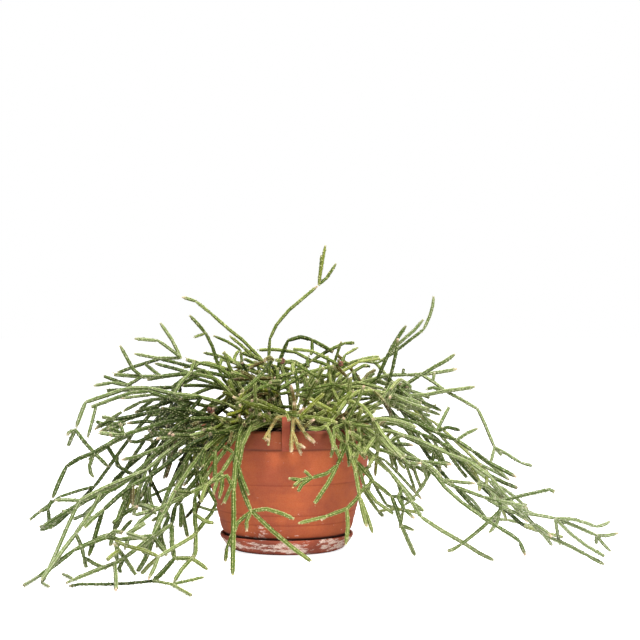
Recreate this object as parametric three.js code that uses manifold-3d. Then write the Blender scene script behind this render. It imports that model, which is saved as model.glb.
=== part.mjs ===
// A rhipsalis prismatica, a trailing forest cactus, in its terracotta pot on a saucer.
// The pot stands on the table. Thin angled stems rise from the soil, arch over the rim and trail,
// and the longest lie on the table around the pot. A clip with an upright tab sits over the rim.
// Units are millimetres, +Z is up, and the origin is the middle of the saucer's underside.

import * as THREE from "three";
import Module from "manifold-3d";
import { mergeVertices } from "three/addons/utils/BufferGeometryUtils.js";

const wasm = await Module();
wasm.setup();

// Pot, saucer and soil. The wall's outer side is given from the foot up, as [radius, height].
const rimRadius = 75; // outside of the collar: a 150 mm half pot
const rimHeight = 107;
const collarHeight = 15;
const collarStep = 2.2; // how far the collar stands out of the wall
const wallSide = [[52.6, 12], [56.8, 19], [59.6, 30], [62.2, 40], [64.9, 50], [67.4, 60], [70.2, 73]];
const wall = 5;
const footRadius = 50;
const footEdge = 2.5; // the foot's edge is cut off this far in
const innerFoot = 42;
const potFloor = 11;
const drainRadius = 9;
const rimEdge = 1.2;
const innerLean = 0.08; // how the rim's inside opens upward
const saucerRadius = 58;
const saucerHeight = 14;
const saucerFoot = 47;
const saucerFloor = 4;
const saucerLip = 2.8;
const fitGap = 0.3; // pieces that touch keep this gap
const roundSides = 32;
const soilEdge = 100;
const soilRise = 11; // the soil is mounded towards the middle

// The clip over the rim at the front
const clipWidth = 7;
const clipThick = 1.8;
const clipTop = 119.5;
const clipFoot = 91;
const clipInner = 102.5; // the lower end of its leg inside the rim
const clipCentre = 1;
const clipSlack = 0.5; // its inner leg stands this much further off the rim

// Stems
const stemRadius = 1.6;
const tipShare = 0.5; // a stem's tip against its radius
const twigShare = 0.9; // a forking stem's radius against the first stem's
const forkShare = 0.7; // a fork's first ring against its radius
const stemSides = 4;
const twigSides = 3;
const stemGap = 0.4; // clear air between stems of two sprays
const tableLift = 0.45; // a lying stem's lowest edge over the table
const rootDepth = 14;
const rootRise = 3; // a stem stays upright this far over the soil
const rootGap = 0.35;
const holeSides = 6;
const spotCount = 66; // places for roots
const spotReach = 47;
const stepLength = 28; // a longer stretch between two points gets a point of its own
const bowShare = 0.5; // the stems are stiff: they bow half as far as a curve through their points
const rimLevel = rimHeight + stemRadius + 1.6; // where a stem lies over the rim
const rimInset = 3; // it crosses the rim this far inside the collar's outside
const slack = 0.15; // points that bend a stem less than this are left out

// How the stems are bent clear of each other
const nearReach = 9; // stretches nearer than this are watched
const bendRounds = 400;
const pairRounds = 15; // how often the near stretches are looked up again
const easeUntil = 0.6; // the share of the rounds in which bends are eased
const pushShare = 1.4;
const easeShare = 0.2;
const drawBack = 0.995;

// The front view: a stem's points are read as [across, up] on the plane through the pot's axis,
// as an eye at this height and distance sees them, with the depth behind that plane as a third
// number. onTable marks a point that lies on the table, so its depth follows from how low it shows.
const eyeAcross = 29;
const eyeDistance = 1500;
const eyeHeight = 227;
const onTable = "table";

// The back half, which the front view hides: sprays that arch over the rim in turn round the pot.
const backCount = 9;
const backFirst = 14; // degrees round the axis, from the right
const backSpan = 152;
const backReach = [190, 285];
const backCrest = [128, 158];
const backTwigs = [[2, 80], [3, 90], [3, 64], [4, 84], [5, 70], [6, 52]]; // [joint, length]

// Short forking stems that fill the middle of the crown
const crownCount = 5;
const crownTwigs = [2, 3, 3, 4]; // the joints that they leave

// Each spray is a list of stems. The first rises from the soil, and each later one
// starts at the nearest joint of those before it.
const frontSprays = {
  tallUpright: [
    [[-14, 110, 8], [-15, 138], [-15.5, 166], [-14.5, 182], [-9, 194], [2, 207], [15, 218],
     [28, 229, 2]],
    [[28, 229], [29.5, 243], [31, 259, 8]],
    [[28, 229], [30.5, 245], [34, 265, -4]],
    [[28, 229], [35, 235], [40, 243.5, 10]],
    [[35, 235], [44, 249, 2]],
    [[-15, 138], [-22, 150], [-36, 156], [-48, 162, 20]],
  ],
  arcOver: [
    [[-6, 110, 22], [-10, 140], [-6, 163], [1, 180], [12, 183.5], [22, 181], [33, 175],
     [44, 168, 26]],
    [[22, 181], [22, 170], [18, 165, 20]],
    [[-10, 140], [4, 152], [22, 163], [35, 171], [50, 178], [63, 178.5, 34]],
    [[22, 163], [8, 170], [-10, 172.5], [-28, 172, 38]],
  ],
  leftHigh: [
    [[-8, 110, 14], [-12, 144], [-20, 162], [-38, 180.5], [-50, 190], [-66, 204], [-79, 214.5],
     [-93, 219, -4]],
    [[-20, 162], [-30, 168], [-42, 178.5], [-51, 185.5, -4]],
    [[-12, 144], [-24, 152], [-34, 158], [-46, 161], [-58, 167], [-74, 170, 40]],
  ],
  leftThin: [
    [[-26, 110, 26], [-45, 134], [-57, 148], [-61, 160], [-65, 174], [-71, 186.5], [-78, 195],
     [-86, 203.5, 16]],
    [[-71, 186.5], [-84, 182, 10]],
    [[-45, 134], [-40, 152], [-41, 171], [-52, 178.5], [-66, 184.5, 44]],
  ],
  leftFork: [
    [[-24, 108, 4], [-34, 130], [-48, 148], [-60, 157], [-76, 160.5], [-92, 165, -8]],
    [[-92, 165], [-100, 181], [-111, 197, -2]],
    [[-92, 165], [-100, 171.5], [-112, 180], [-134, 182, -22]],
    [[-92, 165], [-112, 165], [-134, 169, 8]],
    [[-76, 160.5], [-84, 154, -12]],
    [[-34, 130], [-42, 142], [-50, 158], [-55, 172.5, -22]],
  ],
  leftFlat: [
    [[-30, 108, -6], [-44, 130], [-62, 148], [-83, 153], [-110, 150], [-126, 149.5],
     [-155, 151.5, -16]],
    [[-83, 153], [-97, 157], [-116, 162, 14]],
    [[-126, 149.5], [-134, 156], [-146, 178, -24]],
    [[-110, 150], [-117, 155.5], [-125, 162, 10]],
    [[-126, 149.5], [-139, 142], [-152, 144], [-170, 141, -30]],
  ],
  leftHub: [
    [[-34, 106, 14], [-54, 138], [-72, 155], [-86, 150], [-100, 140, 4], [-116, 139], [-132, 138],
     [-161, 137, -6]],
    [[-100, 140], [-95, 131], [-91, 118, -6]],
    [[-132, 138], [-141, 143], [-163, 151, -18]],
    [[-86, 150], [-93, 141], [-92, 130, 20]],
    [[-54, 138], [-68, 141], [-82, 141.5], [-94, 141, 30]],
  ],
  leftArm: [
    [[-28, 105, -24], [-50, 124], [-74, 131], [-98, 134], [-120, 139], [-140, 138.5], [-158, 132.5],
     [-175, 126.5, -46], [-184, 103, -56]],
    [[-184, 103], [-190, 100], [-192, 94, -62]],
    [[-184, 103], [-188, 95], [-192, 85, -50]],
    [[-184, 103], [-176, 92], [-166, 81], [-154, 69, -74]],
    [[-98, 134], [-92, 144], [-84, 152], [-79, 165, -14]],
  ],
  leftTwin: [
    [[-32, 104, -14], [-56, 120], [-82, 126], [-102, 130], [-120, 136], [-135, 135], [-150, 130],
     [-166, 124, -58], [-173, 121, -64]],
    [[-166, 124], [-169, 112], [-174, 94, -70]],
    [[-102, 130], [-116, 129], [-128, 126.5], [-144, 118, -36]],
    [[-116, 129], [-123, 124], [-131, 119, -24]],
  ],
  leftSweep: [
    [[-38, 103, -32], [-62, 114], [-84, 119.5], [-104, 121], [-122, 117], [-136, 114],
     [-150, 111.5], [-167, 104, -76]],
    [[-122, 117], [-138, 112], [-151, 107], [-165, 100, -62]],
    [[-84, 119.5], [-97, 114], [-110, 109], [-124, 110], [-141, 108, -40]],
  ],
  leftLong: [
    [[-34, 102, -46], [-58, 112], [-84, 112], [-106, 109], [-126, 103], [-142, 98], [-157, 89.5],
     [-168, 82.5, -112], [-180, 78], [-192, 70.5, -120], [-199, 56], [-205, 41, -122]],
    [[-168, 82.5], [-172, 71], [-171, 65], [-167, 59.5, -104]],
    [[-205, 41], [-208, 34], [-218, 30.5, -128]],
    [[-208, 34], [-207, 23], [-205, 12, -116]],
    [[-157, 89.5], [-151, 80], [-144, 68, -96]],
    [[-142, 98], [-146, 111, -90]],
  ],
  leftDown: [
    [[-38, 100, -58], [-60, 105], [-84, 98], [-106, 82], [-122, 68], [-140, 60.5], [-160, 52],
     [-180, 41, -150], [-190, 20], [-199, -1], [-206, -17], [-213, -31, onTable],
     [-206, -35, onTable]],
    [[-180, 41], [-193, 41.5], [-204, 41, -160]],
    [[-122, 68], [-128, 52], [-131, 38], [-135, 24, -120]],
  ],
  leftSpear: [
    [[-42, 101, -40], [-64, 106], [-88, 101], [-108, 88], [-124, 72], [-138, 59], [-150, 51],
     [-163, 46], [-178, 39.5], [-197, 28], [-216, 16, -150]],
    [[-178, 39.5], [-189, 31.5], [-200, 31.5, -140]],
    [[-163, 46], [-168, 35], [-176, 23], [-184, 11.5], [-195, -3], [-206, -19],
     [-215, -32, onTable]],
    [[-184, 11.5], [-179, 0], [-177, -9], [-174, -22, onTable]],
    [[-177, -9], [-166, -15.5], [-154, -20, -170]],
    [[-108, 88], [-118, 84], [-131, 79], [-146, 76, -80]],
  ],
  leftKnee: [
    [[-40, 100, -64], [-62, 101], [-84, 90], [-104, 74], [-120, 62], [-134, 55], [-146, 46],
     [-160, 33, -160], [-165, 18], [-169, 4], [-174, -10, -168]],
    [[-134, 55], [-141, 41], [-147, 27], [-152, 12, -130]],
    [[-147, 27], [-138, 32], [-128, 37, -124]],
    [[-141, 41], [-148, 24], [-155, 20, -146]],
  ],
  tableArc: [
    [[-36, 99, -68], [-56, 99], [-72, 84], [-86, 66], [-98, 48], [-108, 28], [-117, 10.5, -166],
     [-131, 8.5], [-146, 7], [-157, 8.5], [-170, 4], [-186, -3], [-203, -16], [-217, -26, onTable],
     [-230, -34, onTable]],
    [[-117, 10.5], [-130, 0], [-142, -8.5], [-150, -13.5], [-167, -20], [-186, -28, onTable],
     [-194, -31.5, onTable]],
    [[-186, -28], [-191, -25], [-197, -22.5, onTable]],
    [[-150, -13.5], [-149, -26], [-149, -38, onTable]],
    [[-142, -8.5], [-146, -17], [-144, -25, onTable]],
    [[-157, 8.5], [-150, 14], [-139, 12, -176]],
  ],
  tableRun: [
    [[-32, 98, -72], [-48, 99], [-62, 82], [-76, 62], [-88, 47], [-97, 35], [-100, 20], [-100, 3],
     [-98, -10, -165], [-107, -21], [-116, -29.5, onTable], [-135, -31.5, onTable],
     [-160, -32.5, onTable], [-181, -32.5, onTable], [-191, -34.5, onTable]],
    [[-98, -10], [-83, -10], [-68, -20.5, -134]],
    [[-116, -29.5], [-100, -32.5, onTable], [-82, -42.5, onTable]],
    [[-100, -32.5], [-86, -29.5, onTable], [-71, -26, onTable]],
    [[-83, -10], [-92, -20], [-99, -31, onTable]],
  ],
  leftDrop: [
    [[-26, 98, -72], [-44, 99], [-58, 82], [-70, 64], [-80, 46], [-81, 30], [-79.5, 12],
     [-80, -4, -140], [-84, -13, -146]],
    [[-79.5, 12], [-88, 6.5], [-100, -0.5], [-113, -8.5, -186], [-118, -20],
     [-124, -30.5, onTable]],
    [[-113, -8.5], [-122, -16], [-130, -24.5, onTable]],
    [[-113, -8.5], [-126, -3.5], [-140, -0.5], [-156, 5.5, -172]],
    [[-81, 30], [-71, 23], [-60, 21.5, -126]],
  ],
  leftZig: [
    [[-40, 101, -50], [-60, 103], [-78, 90], [-90, 72], [-100, 56], [-107, 38], [-112, 22],
     [-115.5, 9], [-119, -4], [-124, -15], [-130, -25, onTable]],
    [[-130, -25], [-137, -14], [-144, -4], [-150, 5, -178]],
    [[-107, 38], [-103, 26], [-109, 12], [-114, -2, -132]],
    [[-90, 72], [-93, 60], [-95, 48], [-92, 38, -90]],
  ],
  leftCross: [
    [[-20, 98, -74], [-36, 98, -84], [-46, 80], [-57, 64], [-70, 53], [-84, 47], [-101, 38.5, -136],
     [-115, 31.5], [-128, 22], [-138, 8], [-142, -4, -164]],
    [[-70, 53], [-62, 38], [-66, 29], [-71, 23, -104]],
    [[-46, 80], [-54, 86], [-66, 84], [-72, 74, -80]],
  ],
  leftVeil: [
    [[-46, 102, -6], [-70, 113], [-89, 104], [-104, 90], [-118, 77], [-130, 62], [-138, 46],
     [-142, 32], [-150, 14, -60]],
    [[-104, 90], [-110, 78], [-117, 66], [-120, 52, -30]],
    [[-130, 62], [-139, 66], [-148, 72], [-147, 83, -44]],
    [[-89, 104], [-101, 103], [-116, 98], [-130, 92], [-141, 93, -10]],
    [[-89, 104], [-84, 94], [-85, 80], [-90, 66], [-97, 52, -20]],
  ],
  leftBehind: [
    [[-46, 102, 16], [-70, 114], [-92, 107], [-110, 96], [-124, 82], [-136, 72], [-149, 60],
     [-155, 50, -10]],
    [[-110, 96], [-118, 84], [-126, 68], [-130, 52, 20]],
    [[-92, 107], [-104, 98], [-114, 84], [-120, 72], [-118, 58, 34]],
    [[-92, 107], [-86, 98], [-87, 84], [-92, 68], [-97, 50, 40]],
    [[-86, 84], [-80, 72], [-78, 56], [-76, 40, 30]],
  ],
  rightHigh: [
    [[22, 110, 10], [34, 138], [46, 156], [62, 163.5], [79, 161], [92, 169], [105, 179], [119, 190],
     [124.5, 202], [127, 211], [128, 221, -2]],
    [[62, 163.5], [71, 165.5], [82, 167, 16]],
    [[46, 156], [51, 168], [63, 175, 40]],
    [[34, 138], [38, 152], [43, 166], [48, 181, -8]],
  ],
  rightSplay: [
    [[32, 110, -4], [50, 128], [68, 140], [79, 148], [84, 159], [89, 170], [97, 183],
     [105, 195, -12]],
    [[89, 170], [100, 180], [111, 189.5], [120, 200, 2]],
    [[50, 128], [72, 130], [82, 132], [88, 142], [92, 156], [95, 170], [97, 184, -34]],
  ],
  rightBar: [
    [[32, 110, 20], [48, 136], [62, 143], [74, 146.5], [87, 150], [105, 150.5], [122, 151.5],
     [136, 153.5], [150, 156, 30]],
    [[105, 150.5], [101, 152], [103, 160, 26]],
    [[87, 150], [80, 158], [74, 164, 36]],
    [[62, 143], [58, 153], [66, 158], [72, 158, 40]],
    [[87, 150], [94, 142], [104, 134], [117, 130], [123, 122], [132, 125, 20]],
  ],
  rightArm: [
    [[40, 106, 0], [62, 122], [82, 131], [98, 139], [108, 145], [117, 151, -14], [128, 157.5],
     [138, 163], [148, 170, -22]],
    [[117, 151], [127, 145], [138, 137], [152, 129.5], [166, 121, -40], [172, 109], [176.5, 98],
     [181, 88, -50], [192, 81.5], [204, 74], [218, 70, -64]],
    [[181, 88], [185, 83], [189, 79, -38]],
    [[181, 88], [179, 79], [176, 70, -56]],
    [[127, 145], [129, 155, -20]],
    [[138, 137], [127, 140], [118, 137.5, -24]],
  ],
  rightPale: [
    [[44, 104, -12], [66, 118], [86, 128], [104, 132], [122, 133], [138, 136], [154, 138],
     [166, 140, -34]],
    [[86, 128], [100, 126], [114, 121], [124, 119], [135, 115, -6]],
    [[104, 132], [108, 140], [100, 146], [92, 144, -24]],
  ],
  rightSweep: [
    [[42, 100, -32], [66, 112], [90, 115], [112, 110], [130, 101], [148, 94], [162, 84.5],
     [176, 74.5, -88], [190, 67], [202, 60.5, -96]],
    [[130, 101], [134, 109], [138, 117], [143, 126, -46]],
    [[148, 94], [157, 100], [168, 105, -66]],
    [[162, 84.5], [170, 78], [181, 70], [194, 58.5, -76]],
    [[130, 101], [140, 105.5], [154, 102, -50]],
  ],
  rightFan: [
    [[46, 100, -20], [70, 108], [96, 106], [118, 98], [136, 90], [152, 80.5], [166, 71], [178, 62],
     [190, 56], [205, 50, -92]],
    [[136, 90], [143, 79], [151, 68], [160, 57, -58]],
    [[152, 80.5], [162, 68], [168, 58], [168, 45, -84]],
    [[166, 71], [175, 65], [174, 55], [180, 48, -96]],
  ],
  rightLong: [
    [[40, 98, -42], [64, 104], [92, 101], [116, 93], [140, 82], [160, 74], [178, 61, -104],
     [190, 46], [206, 30, -112], [214, 21], [224, 11], [246, 1.5], [262, -7, -106],
     [279, -16, onTable]],
    [[224, 11], [232, 1, -90]],
    [[206, 30], [220, 28], [234, 25.5, -122], [250, 24.5], [262, 21], [270, 18], [277, 20],
     [284, 24, -118]],
    [[234, 25.5], [252, 18.5], [270, 10.5, -110], [280, 10.5], [291, 13, -102]],
    [[270, 10.5], [270, 1, -98]],
    [[270, 10.5], [277, 2], [284, -5, -104]],
    [[234, 25.5], [248, 11.5], [262, 1], [281, -10, -112]],
    [[234, 25.5], [236, 12], [239, 0, -96]],
  ],
  rightReach: [
    [[42, 97, -52], [66, 98], [90, 91], [112, 79], [126, 67], [140, 56], [156, 50], [172, 44],
     [186, 40.5, -120], [204, 45], [222, 49], [229, 50.5], [238, 46, -128]],
    [[186, 40.5], [186, 32.5], [170, 17], [152, 2.5], [145, -2], [136, -4, -104]],
    [[186, 32.5], [183, 21], [175, 11, -112]],
    [[172, 44], [184, 37], [198, 31], [212, 22.5, -106]],
    [[126, 67], [134, 59.5], [150, 57.5], [166, 56, -96]],
  ],
  rightBow: [
    [[38, 96, -58], [58, 95], [80, 85], [100, 79], [117, 75], [127, 66], [138, 52], [152, 39.5],
     [168, 28], [182, 19, -128], [196, 10.5], [203, 5], [209, -9, -122]],
    [[117, 75], [122, 60], [113, 46], [101, 35, -84]],
    [[100, 79], [106, 72.5], [119, 73, -100]],
  ],
  rightDiagonal: [
    [[34, 95, -66], [54, 91], [72, 82], [90, 66], [101, 52], [109, 40], [117, 27, -112],
     [134, 15.5], [154, 4], [168, -5], [182, -12, onTable]],
    [[109, 40], [116, 35], [122, 29, -108]],
    [[101, 52], [97, 44], [103, 33], [113, 24, -110]],
    [[90, 66], [97, 56], [100, 44], [101, 31], [98, 15, -90]],
  ],
  rightDrop: [
    [[30, 95, -72], [48, 90], [61, 73], [75, 57], [91, 44], [96, 32], [100, 19, -98], [107, 3],
     [113, -10, onTable]],
    [[91, 44], [100, 43], [110, 39, -96]],
    [[100, 19], [112, 14, -90]],
    [[61, 73], [68, 52], [78, 38.5], [89, 31], [96, 26, -92]],
    [[75, 57], [66, 49], [58, 38, -90]],
  ],
  rightCurtain: [
    [[46, 98, 0], [70, 112], [92, 101], [112, 92], [128, 83], [126, 70], [121, 57], [112, 45, -30]],
    [[128, 83], [133, 77], [134, 64, -16]],
    [[92, 99], [100, 88], [104, 72], [109, 58], [113, 46, -10]],
    [[100, 88], [108, 78], [113, 62], [118, 49, 4]],
    [[70, 112], [86, 92], [92, 80], [97, 64, 10]],
    [[86, 92], [90, 80], [93, 67, 22]],
    [[92, 101], [80, 88], [77, 60, 16]],
  ],
  frontHang: [
    [[-24, 99, -58], [-36, 106, -76], [-41, 97, -90], [-44, 76], [-46, 50], [-46, 24], [-46.5, 0],
     [-47, -27, onTable]],
    [[-44, 76], [-39, 60], [-32, 43, -116]],
    [[-46, 50], [-52, 62], [-60, 58], [-68, 57, -118]],
  ],
  frontCross: [
    [[-14, 99, -60], [-30, 105, -80], [-39, 86, -96], [-43, 66], [-38, 47], [-31, 31, -116],
     [-12, 13], [6, -2], [24, -15, onTable]],
    [[-31, 31], [-18, 33], [-4, 29], [8, 23.5, -126]],
    [[-31, 31], [-35, 22], [-35, 11, -122]],
    [[-31, 31], [-43, 21], [-52, 0], [-54, -17, onTable]],
  ],
  frontFleck: [
    [[38, 100, -52], [52, 105, -74], [53, 90, -92], [44, 70], [36, 55], [28, 43], [22, 34, -114]],
    [[44, 70], [35, 63.5], [22, 60], [12, 58], [0, 60, -112]],
    [[22, 60], [17, 65], [12, 68, -106]],
    [[12, 58], [4, 51, -118]],
    [[22, 60], [13, 54], [8, 45, -120]],
    [[52, 105], [41, 101], [41, 88], [38, 74, -94]],
  ],
  frontPale: [
    [[46, 101, -38], [60, 106, -62], [63, 90, -82], [58, 70], [61, 55], [63, 44, -98], [66, 30],
     [70, 15, -92]],
    [[63, 44], [70, 26], [75, 10, -86]],
    [[63, 44], [52, 33], [34, 26.5], [8, 20, -114]],
    [[52, 33], [53, 18], [51, 0, -102]],
    [[34, 26.5], [28, 22, -110]],
    [[63, 90], [70, 80], [72, 68, -70]],
  ],
  rimTips: [
    [[4, 102, -50], [6, 112, -70], [5, 100, -86], [4, 89], [4, 78, -94]],
    [[5, 100], [9, 89], [14, 77, -98]],
    [[9, 89], [17, 85, -102]],
    [[6, 112], [15, 99, -86], [27, 87, -96]],
    [[15, 99], [21, 91, -100]],
    [[6, 112], [-8, 112, -76], [-15, 101, -86], [-16, 86, -92]],
    [[-15, 101], [-19, 94], [-12, 91, -96]],
  ],
  frontRim: [
    [[-32, 107, -38], [-42, 127, -46], [-38, 119], [-30, 112.5], [-20, 110.5], [-12, 107, -74]],
    [[-38, 119], [-44, 109], [-54, 108, -66]],
    [[-42, 127], [-29, 125, -60], [-14, 120.5, -80], [0, 117, -88], [12, 114], [24, 113],
     [36, 112, -80]],
    [[-42, 127], [-36, 136], [-28, 143], [-26, 152, -40]],
  ],
  frontLean: [
    [[44, 103, -30], [48, 122, -44], [53, 129, -62], [44, 117], [35, 106, -86], [26, 103.5],
     [15, 105, -92]],
    [[53, 129], [66, 124, -70], [76, 112, -84], [79, 98, -88], [80, 84, -84]],
    [[48, 122], [40, 140], [38, 152], [36, 170, -34]],
    [[53, 129], [62, 136], [76, 137], [90, 134, -56]],
  ],
};

// A seeded draw, alike each time the part is made.
let drawState = 20417;
function draw(low, high) {
  drawState = (drawState * 16807) % 2147483647;
  return low + ((high - low) * drawState) / 2147483647;
}

// Where a front-view point stands in the part's frame.
function place([across, up, depth]) {
  const share = (eyeDistance + depth) / eyeDistance;
  return [eyeAcross + (across - eyeAcross) * share, depth, eyeHeight + (up - eyeHeight) * share];
}

// Where a point of the part's frame shows in the front view.
function shownAt([x, y, z]) {
  const share = eyeDistance / (eyeDistance + y);
  return [eyeAcross + (x - eyeAcross) * share, eyeHeight + (z - eyeHeight) * share];
}

function tableDepth(up) {
  return (eyeDistance * (eyeHeight - stemRadius - tableLift)) / (eyeHeight - up) - eyeDistance;
}

// Fills in the depths that a stem's points leave out, evenly between the stated ones.
function withDepths(points, firstDepth) {
  const depths = points.map((p) => (p[2] === onTable ? tableDepth(p[1]) : p[2]));
  if (depths[0] === undefined) depths[0] = firstDepth;
  let known = 0;
  for (let i = 1; i < points.length; i++) {
    if (depths[i] === undefined) continue;
    for (let k = known + 1; k < i; k++) {
      depths[k] = depths[known] + ((depths[i] - depths[known]) * (k - known)) / (i - known);
    }
    known = i;
  }
  return points.map((p, i) => [p[0], p[1], depths[i] ?? depths[known]]);
}

function rimInner(height) {
  return rimRadius - collarStep - wall + (height - rimHeight) * innerLean;
}

function soilTop(radius) {
  const share = Math.min(1, radius / rimInner(rimHeight));
  return soilEdge + soilRise * (1 - share * share);
}

// The points of a back spray's main stem as [distance from the axis, height].
function backArch(reach, crest) {
  return [
    [24, 106],
    [48, crest - 6],
    [74, crest],
    [reach * 0.42, crest - 14],
    [reach * 0.6, crest * 0.62],
    [reach * 0.76, crest * 0.3],
    [reach * 0.9, 10],
    [reach, stemRadius + tableLift],
  ];
}

function backSpray(k) {
  let heading = ((backFirst + (backSpan * (k + 0.5)) / backCount + draw(-5, 5)) * Math.PI) / 180;
  const main = [];
  for (const [out, up] of backArch(draw(...backReach), draw(...backCrest))) {
    heading += draw(-0.05, 0.05);
    main.push([out * Math.cos(heading), out * Math.sin(heading), up]);
  }
  const spray = [main];
  for (const [joint, length] of backTwigs) {
    const side = draw(0.35, 0.95) * (spray.length % 2 ? 1 : -1);
    const lift = draw(-0.75, joint < 4 ? 0.5 : 0.05);
    spray.push(twig(main[joint], heading + side, lift, length * draw(0.8, 1.15)));
  }
  return spray;
}

// A twig in two stretches: it leaves at a heading, rises by lift per length, and then droops.
function twig([x, y, z], heading, lift, length) {
  const low = stemRadius + tableLift;
  const half = length / 2;
  const bend = heading + draw(-0.35, 0.35);
  const knee = [x + half * Math.cos(heading), y + half * Math.sin(heading), Math.max(low, z + half * lift)];
  const fall = lift - draw(0.15, 0.6);
  const tipHeight = Math.max(low, knee[2] + half * fall);
  return [[x, y, z], knee, [knee[0] + half * Math.cos(bend), knee[1] + half * Math.sin(bend), tipHeight]];
}

function crownSpray(k) {
  const turn = (k * 2 * Math.PI) / crownCount + draw(-0.4, 0.4);
  const out = draw(6, 26);
  const main = [[out * Math.cos(turn), out * Math.sin(turn), 108]];
  const lean = turn + draw(-1.2, 1.2);
  for (let i = 1; i < 5; i++) {
    const [x, y, z] = main[i - 1];
    const run = draw(6, 15);
    main.push([x + run * Math.cos(lean), y + run * Math.sin(lean), z + draw(7, 15)]);
  }
  const spray = [main];
  for (const joint of crownTwigs) {
    const heading = lean + draw(0.7, 2.4) * (spray.length % 2 ? 1 : -1);
    const lift = draw(-0.2, 0.6);
    spray.push(twig(main[joint], heading, lift, draw(34, 60)));
  }
  return spray;
}

// Points as vectors
const minus = (p, q) => [p[0] - q[0], p[1] - q[1], p[2] - q[2]];
const dot = (p, q) => p[0] * q[0] + p[1] * q[1] + p[2] * q[2];
const cross = (p, q) => [p[1] * q[2] - p[2] * q[1], p[2] * q[0] - p[0] * q[2], p[0] * q[1] - p[1] * q[0]];
const along = (p, q, t) => [p[0] + (q[0] - p[0]) * t, p[1] + (q[1] - p[1]) * t, p[2] + (q[2] - p[2]) * t];
const distance = (p, q) => Math.hypot(p[0] - q[0], p[1] - q[1], p[2] - q[2]);
const clamp = (v) => Math.min(1, Math.max(0, v));
const unit = (p) => {
  const size = Math.hypot(...p) || 1;
  return p.map((v) => v / size);
};

// The entry of a list with the least measure.
function leastOf(list, measure) {
  return list.reduce((best, entry) => (measure(entry) < measure(best) ? entry : best));
}

// All stems as joints (points that stems share) and, for each stem, the joints that it runs through.
const joints = [];
const stems = [];

// Roots stand on a spiral of spots, so that no two share a hole.
const rootSpots = [];
for (let i = 0; i < spotCount; i++) {
  const out = spotReach * Math.sqrt((i + 0.5) / spotCount);
  const turn = i * Math.PI * (3 - Math.sqrt(5));
  rootSpots.push([out * Math.cos(turn), out * Math.sin(turn)]);
}

function addJoint(point, fixed, spray) {
  joints.push({ point: [...point], fixed, spray, drift: [0, 0, 0] });
  return joints.length - 1;
}

// The point at share t from a to b, bowed towards the curve through their neighbours.
function bowed(before, a, b, after, t) {
  const bow = bowShare * t * (1 - t);
  return a.map((v, n) => {
    const run = b[n] - v;
    const lead = (b[n] - before[n] - 2 * run) * 0.5;
    const trail = (after[n] - v - 2 * run) * 0.5;
    return v + run * t + bow * ((1 - t) * lead - t * trail);
  });
}

// Adds a stem's points as joints, with extra ones on long stretches.
function runThrough(first, points, spray) {
  const path = [first];
  const all = [joints[first].point, ...points];
  for (let i = 1; i < all.length; i++) {
    const [a, b] = [all[i - 1], all[i]];
    const parts = Math.ceil(distance(a, b) / stepLength);
    for (let k = 1; k < parts; k++) {
      path.push(addJoint(bowed(all[i - 2] ?? a, a, b, all[i + 1] ?? b, k / parts), false, spray));
    }
    path.push(addJoint(b, false, spray));
  }
  return path;
}

// A point over the rim, for a stem that leaves the pot low.
function overRim([x, y], next) {
  if (Math.hypot(next[0], next[1]) < rimRadius || next[2] > rimLevel + 4) return [];
  const crossing = (share) => [x + (next[0] - x) * share, y + (next[1] - y) * share, rimLevel];
  let share = 0;
  while (Math.hypot(...crossing(share).slice(0, 2)) < rimRadius - rimInset) share += 0.02;
  return [crossing(share)];
}

// A spray's first stem, from a foot in the soil at the free root spot nearest to where it is read.
function addMainStem(name, [wish, ...rest]) {
  const spot = leastOf(rootSpots, (s) => Math.hypot(s[0] - wish[0], s[1] - wish[1]));
  rootSpots.splice(rootSpots.indexOf(spot), 1);
  const top = soilTop(Math.hypot(...spot));
  const foot = addJoint([...spot, top - rootDepth], true, name);
  const collar = addJoint([...spot, top + rootRise], true, name);
  const path = [foot, ...runThrough(collar, [...overRim(spot, rest[0]), ...rest], name)];
  stems.push({ spray: name, path, radius: stemRadius });
}

function addFork(name, start, rest) {
  stems.push({ spray: name, path: runThrough(start, rest, name), radius: stemRadius * twigShare });
}

function looseJoints(spray) {
  return [...joints.keys()].filter((i) => joints[i].spray === spray && !joints[i].fixed);
}

// A spray that is read in the front view. A fork takes its first depth from the joint that it leaves.
function addFrontSpray(name, [main, ...forks]) {
  addMainStem(name, withDepths(main, 0).map(place));
  for (const [[across, up], ...points] of forks) {
    const start = leastOf(looseJoints(name), (i) => {
      const [shownAcross, shownUp] = shownAt(joints[i].point);
      return Math.hypot(shownAcross - across, shownUp - up);
    });
    addFork(name, start, withDepths([[across, up, joints[start].point[1]], ...points]).slice(1).map(place));
  }
}

function addRuledSpray(name, [main, ...forks]) {
  addMainStem(name, main);
  for (const [from, ...points] of forks) {
    addFork(name, leastOf(looseJoints(name), (i) => distance(joints[i].point, from)), points);
  }
}

Object.entries(frontSprays).forEach(([name, paths]) => addFrontSpray(name, paths));
for (let k = 0; k < backCount; k++) addRuledSpray("back_" + (k + 1), backSpray(k));
for (let k = 0; k < crownCount; k++) addRuledSpray("crown_" + (k + 1), crownSpray(k));

// The pot's outer side from foot to collar, as [radius, height].
function potOuter() {
  return [
    [footRadius - footEdge, saucerFloor + fitGap],
    [footRadius, saucerFloor + fitGap + 2],
    ...wallSide,
    [rimRadius - collarStep, rimHeight - collarHeight],
  ];
}

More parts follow.
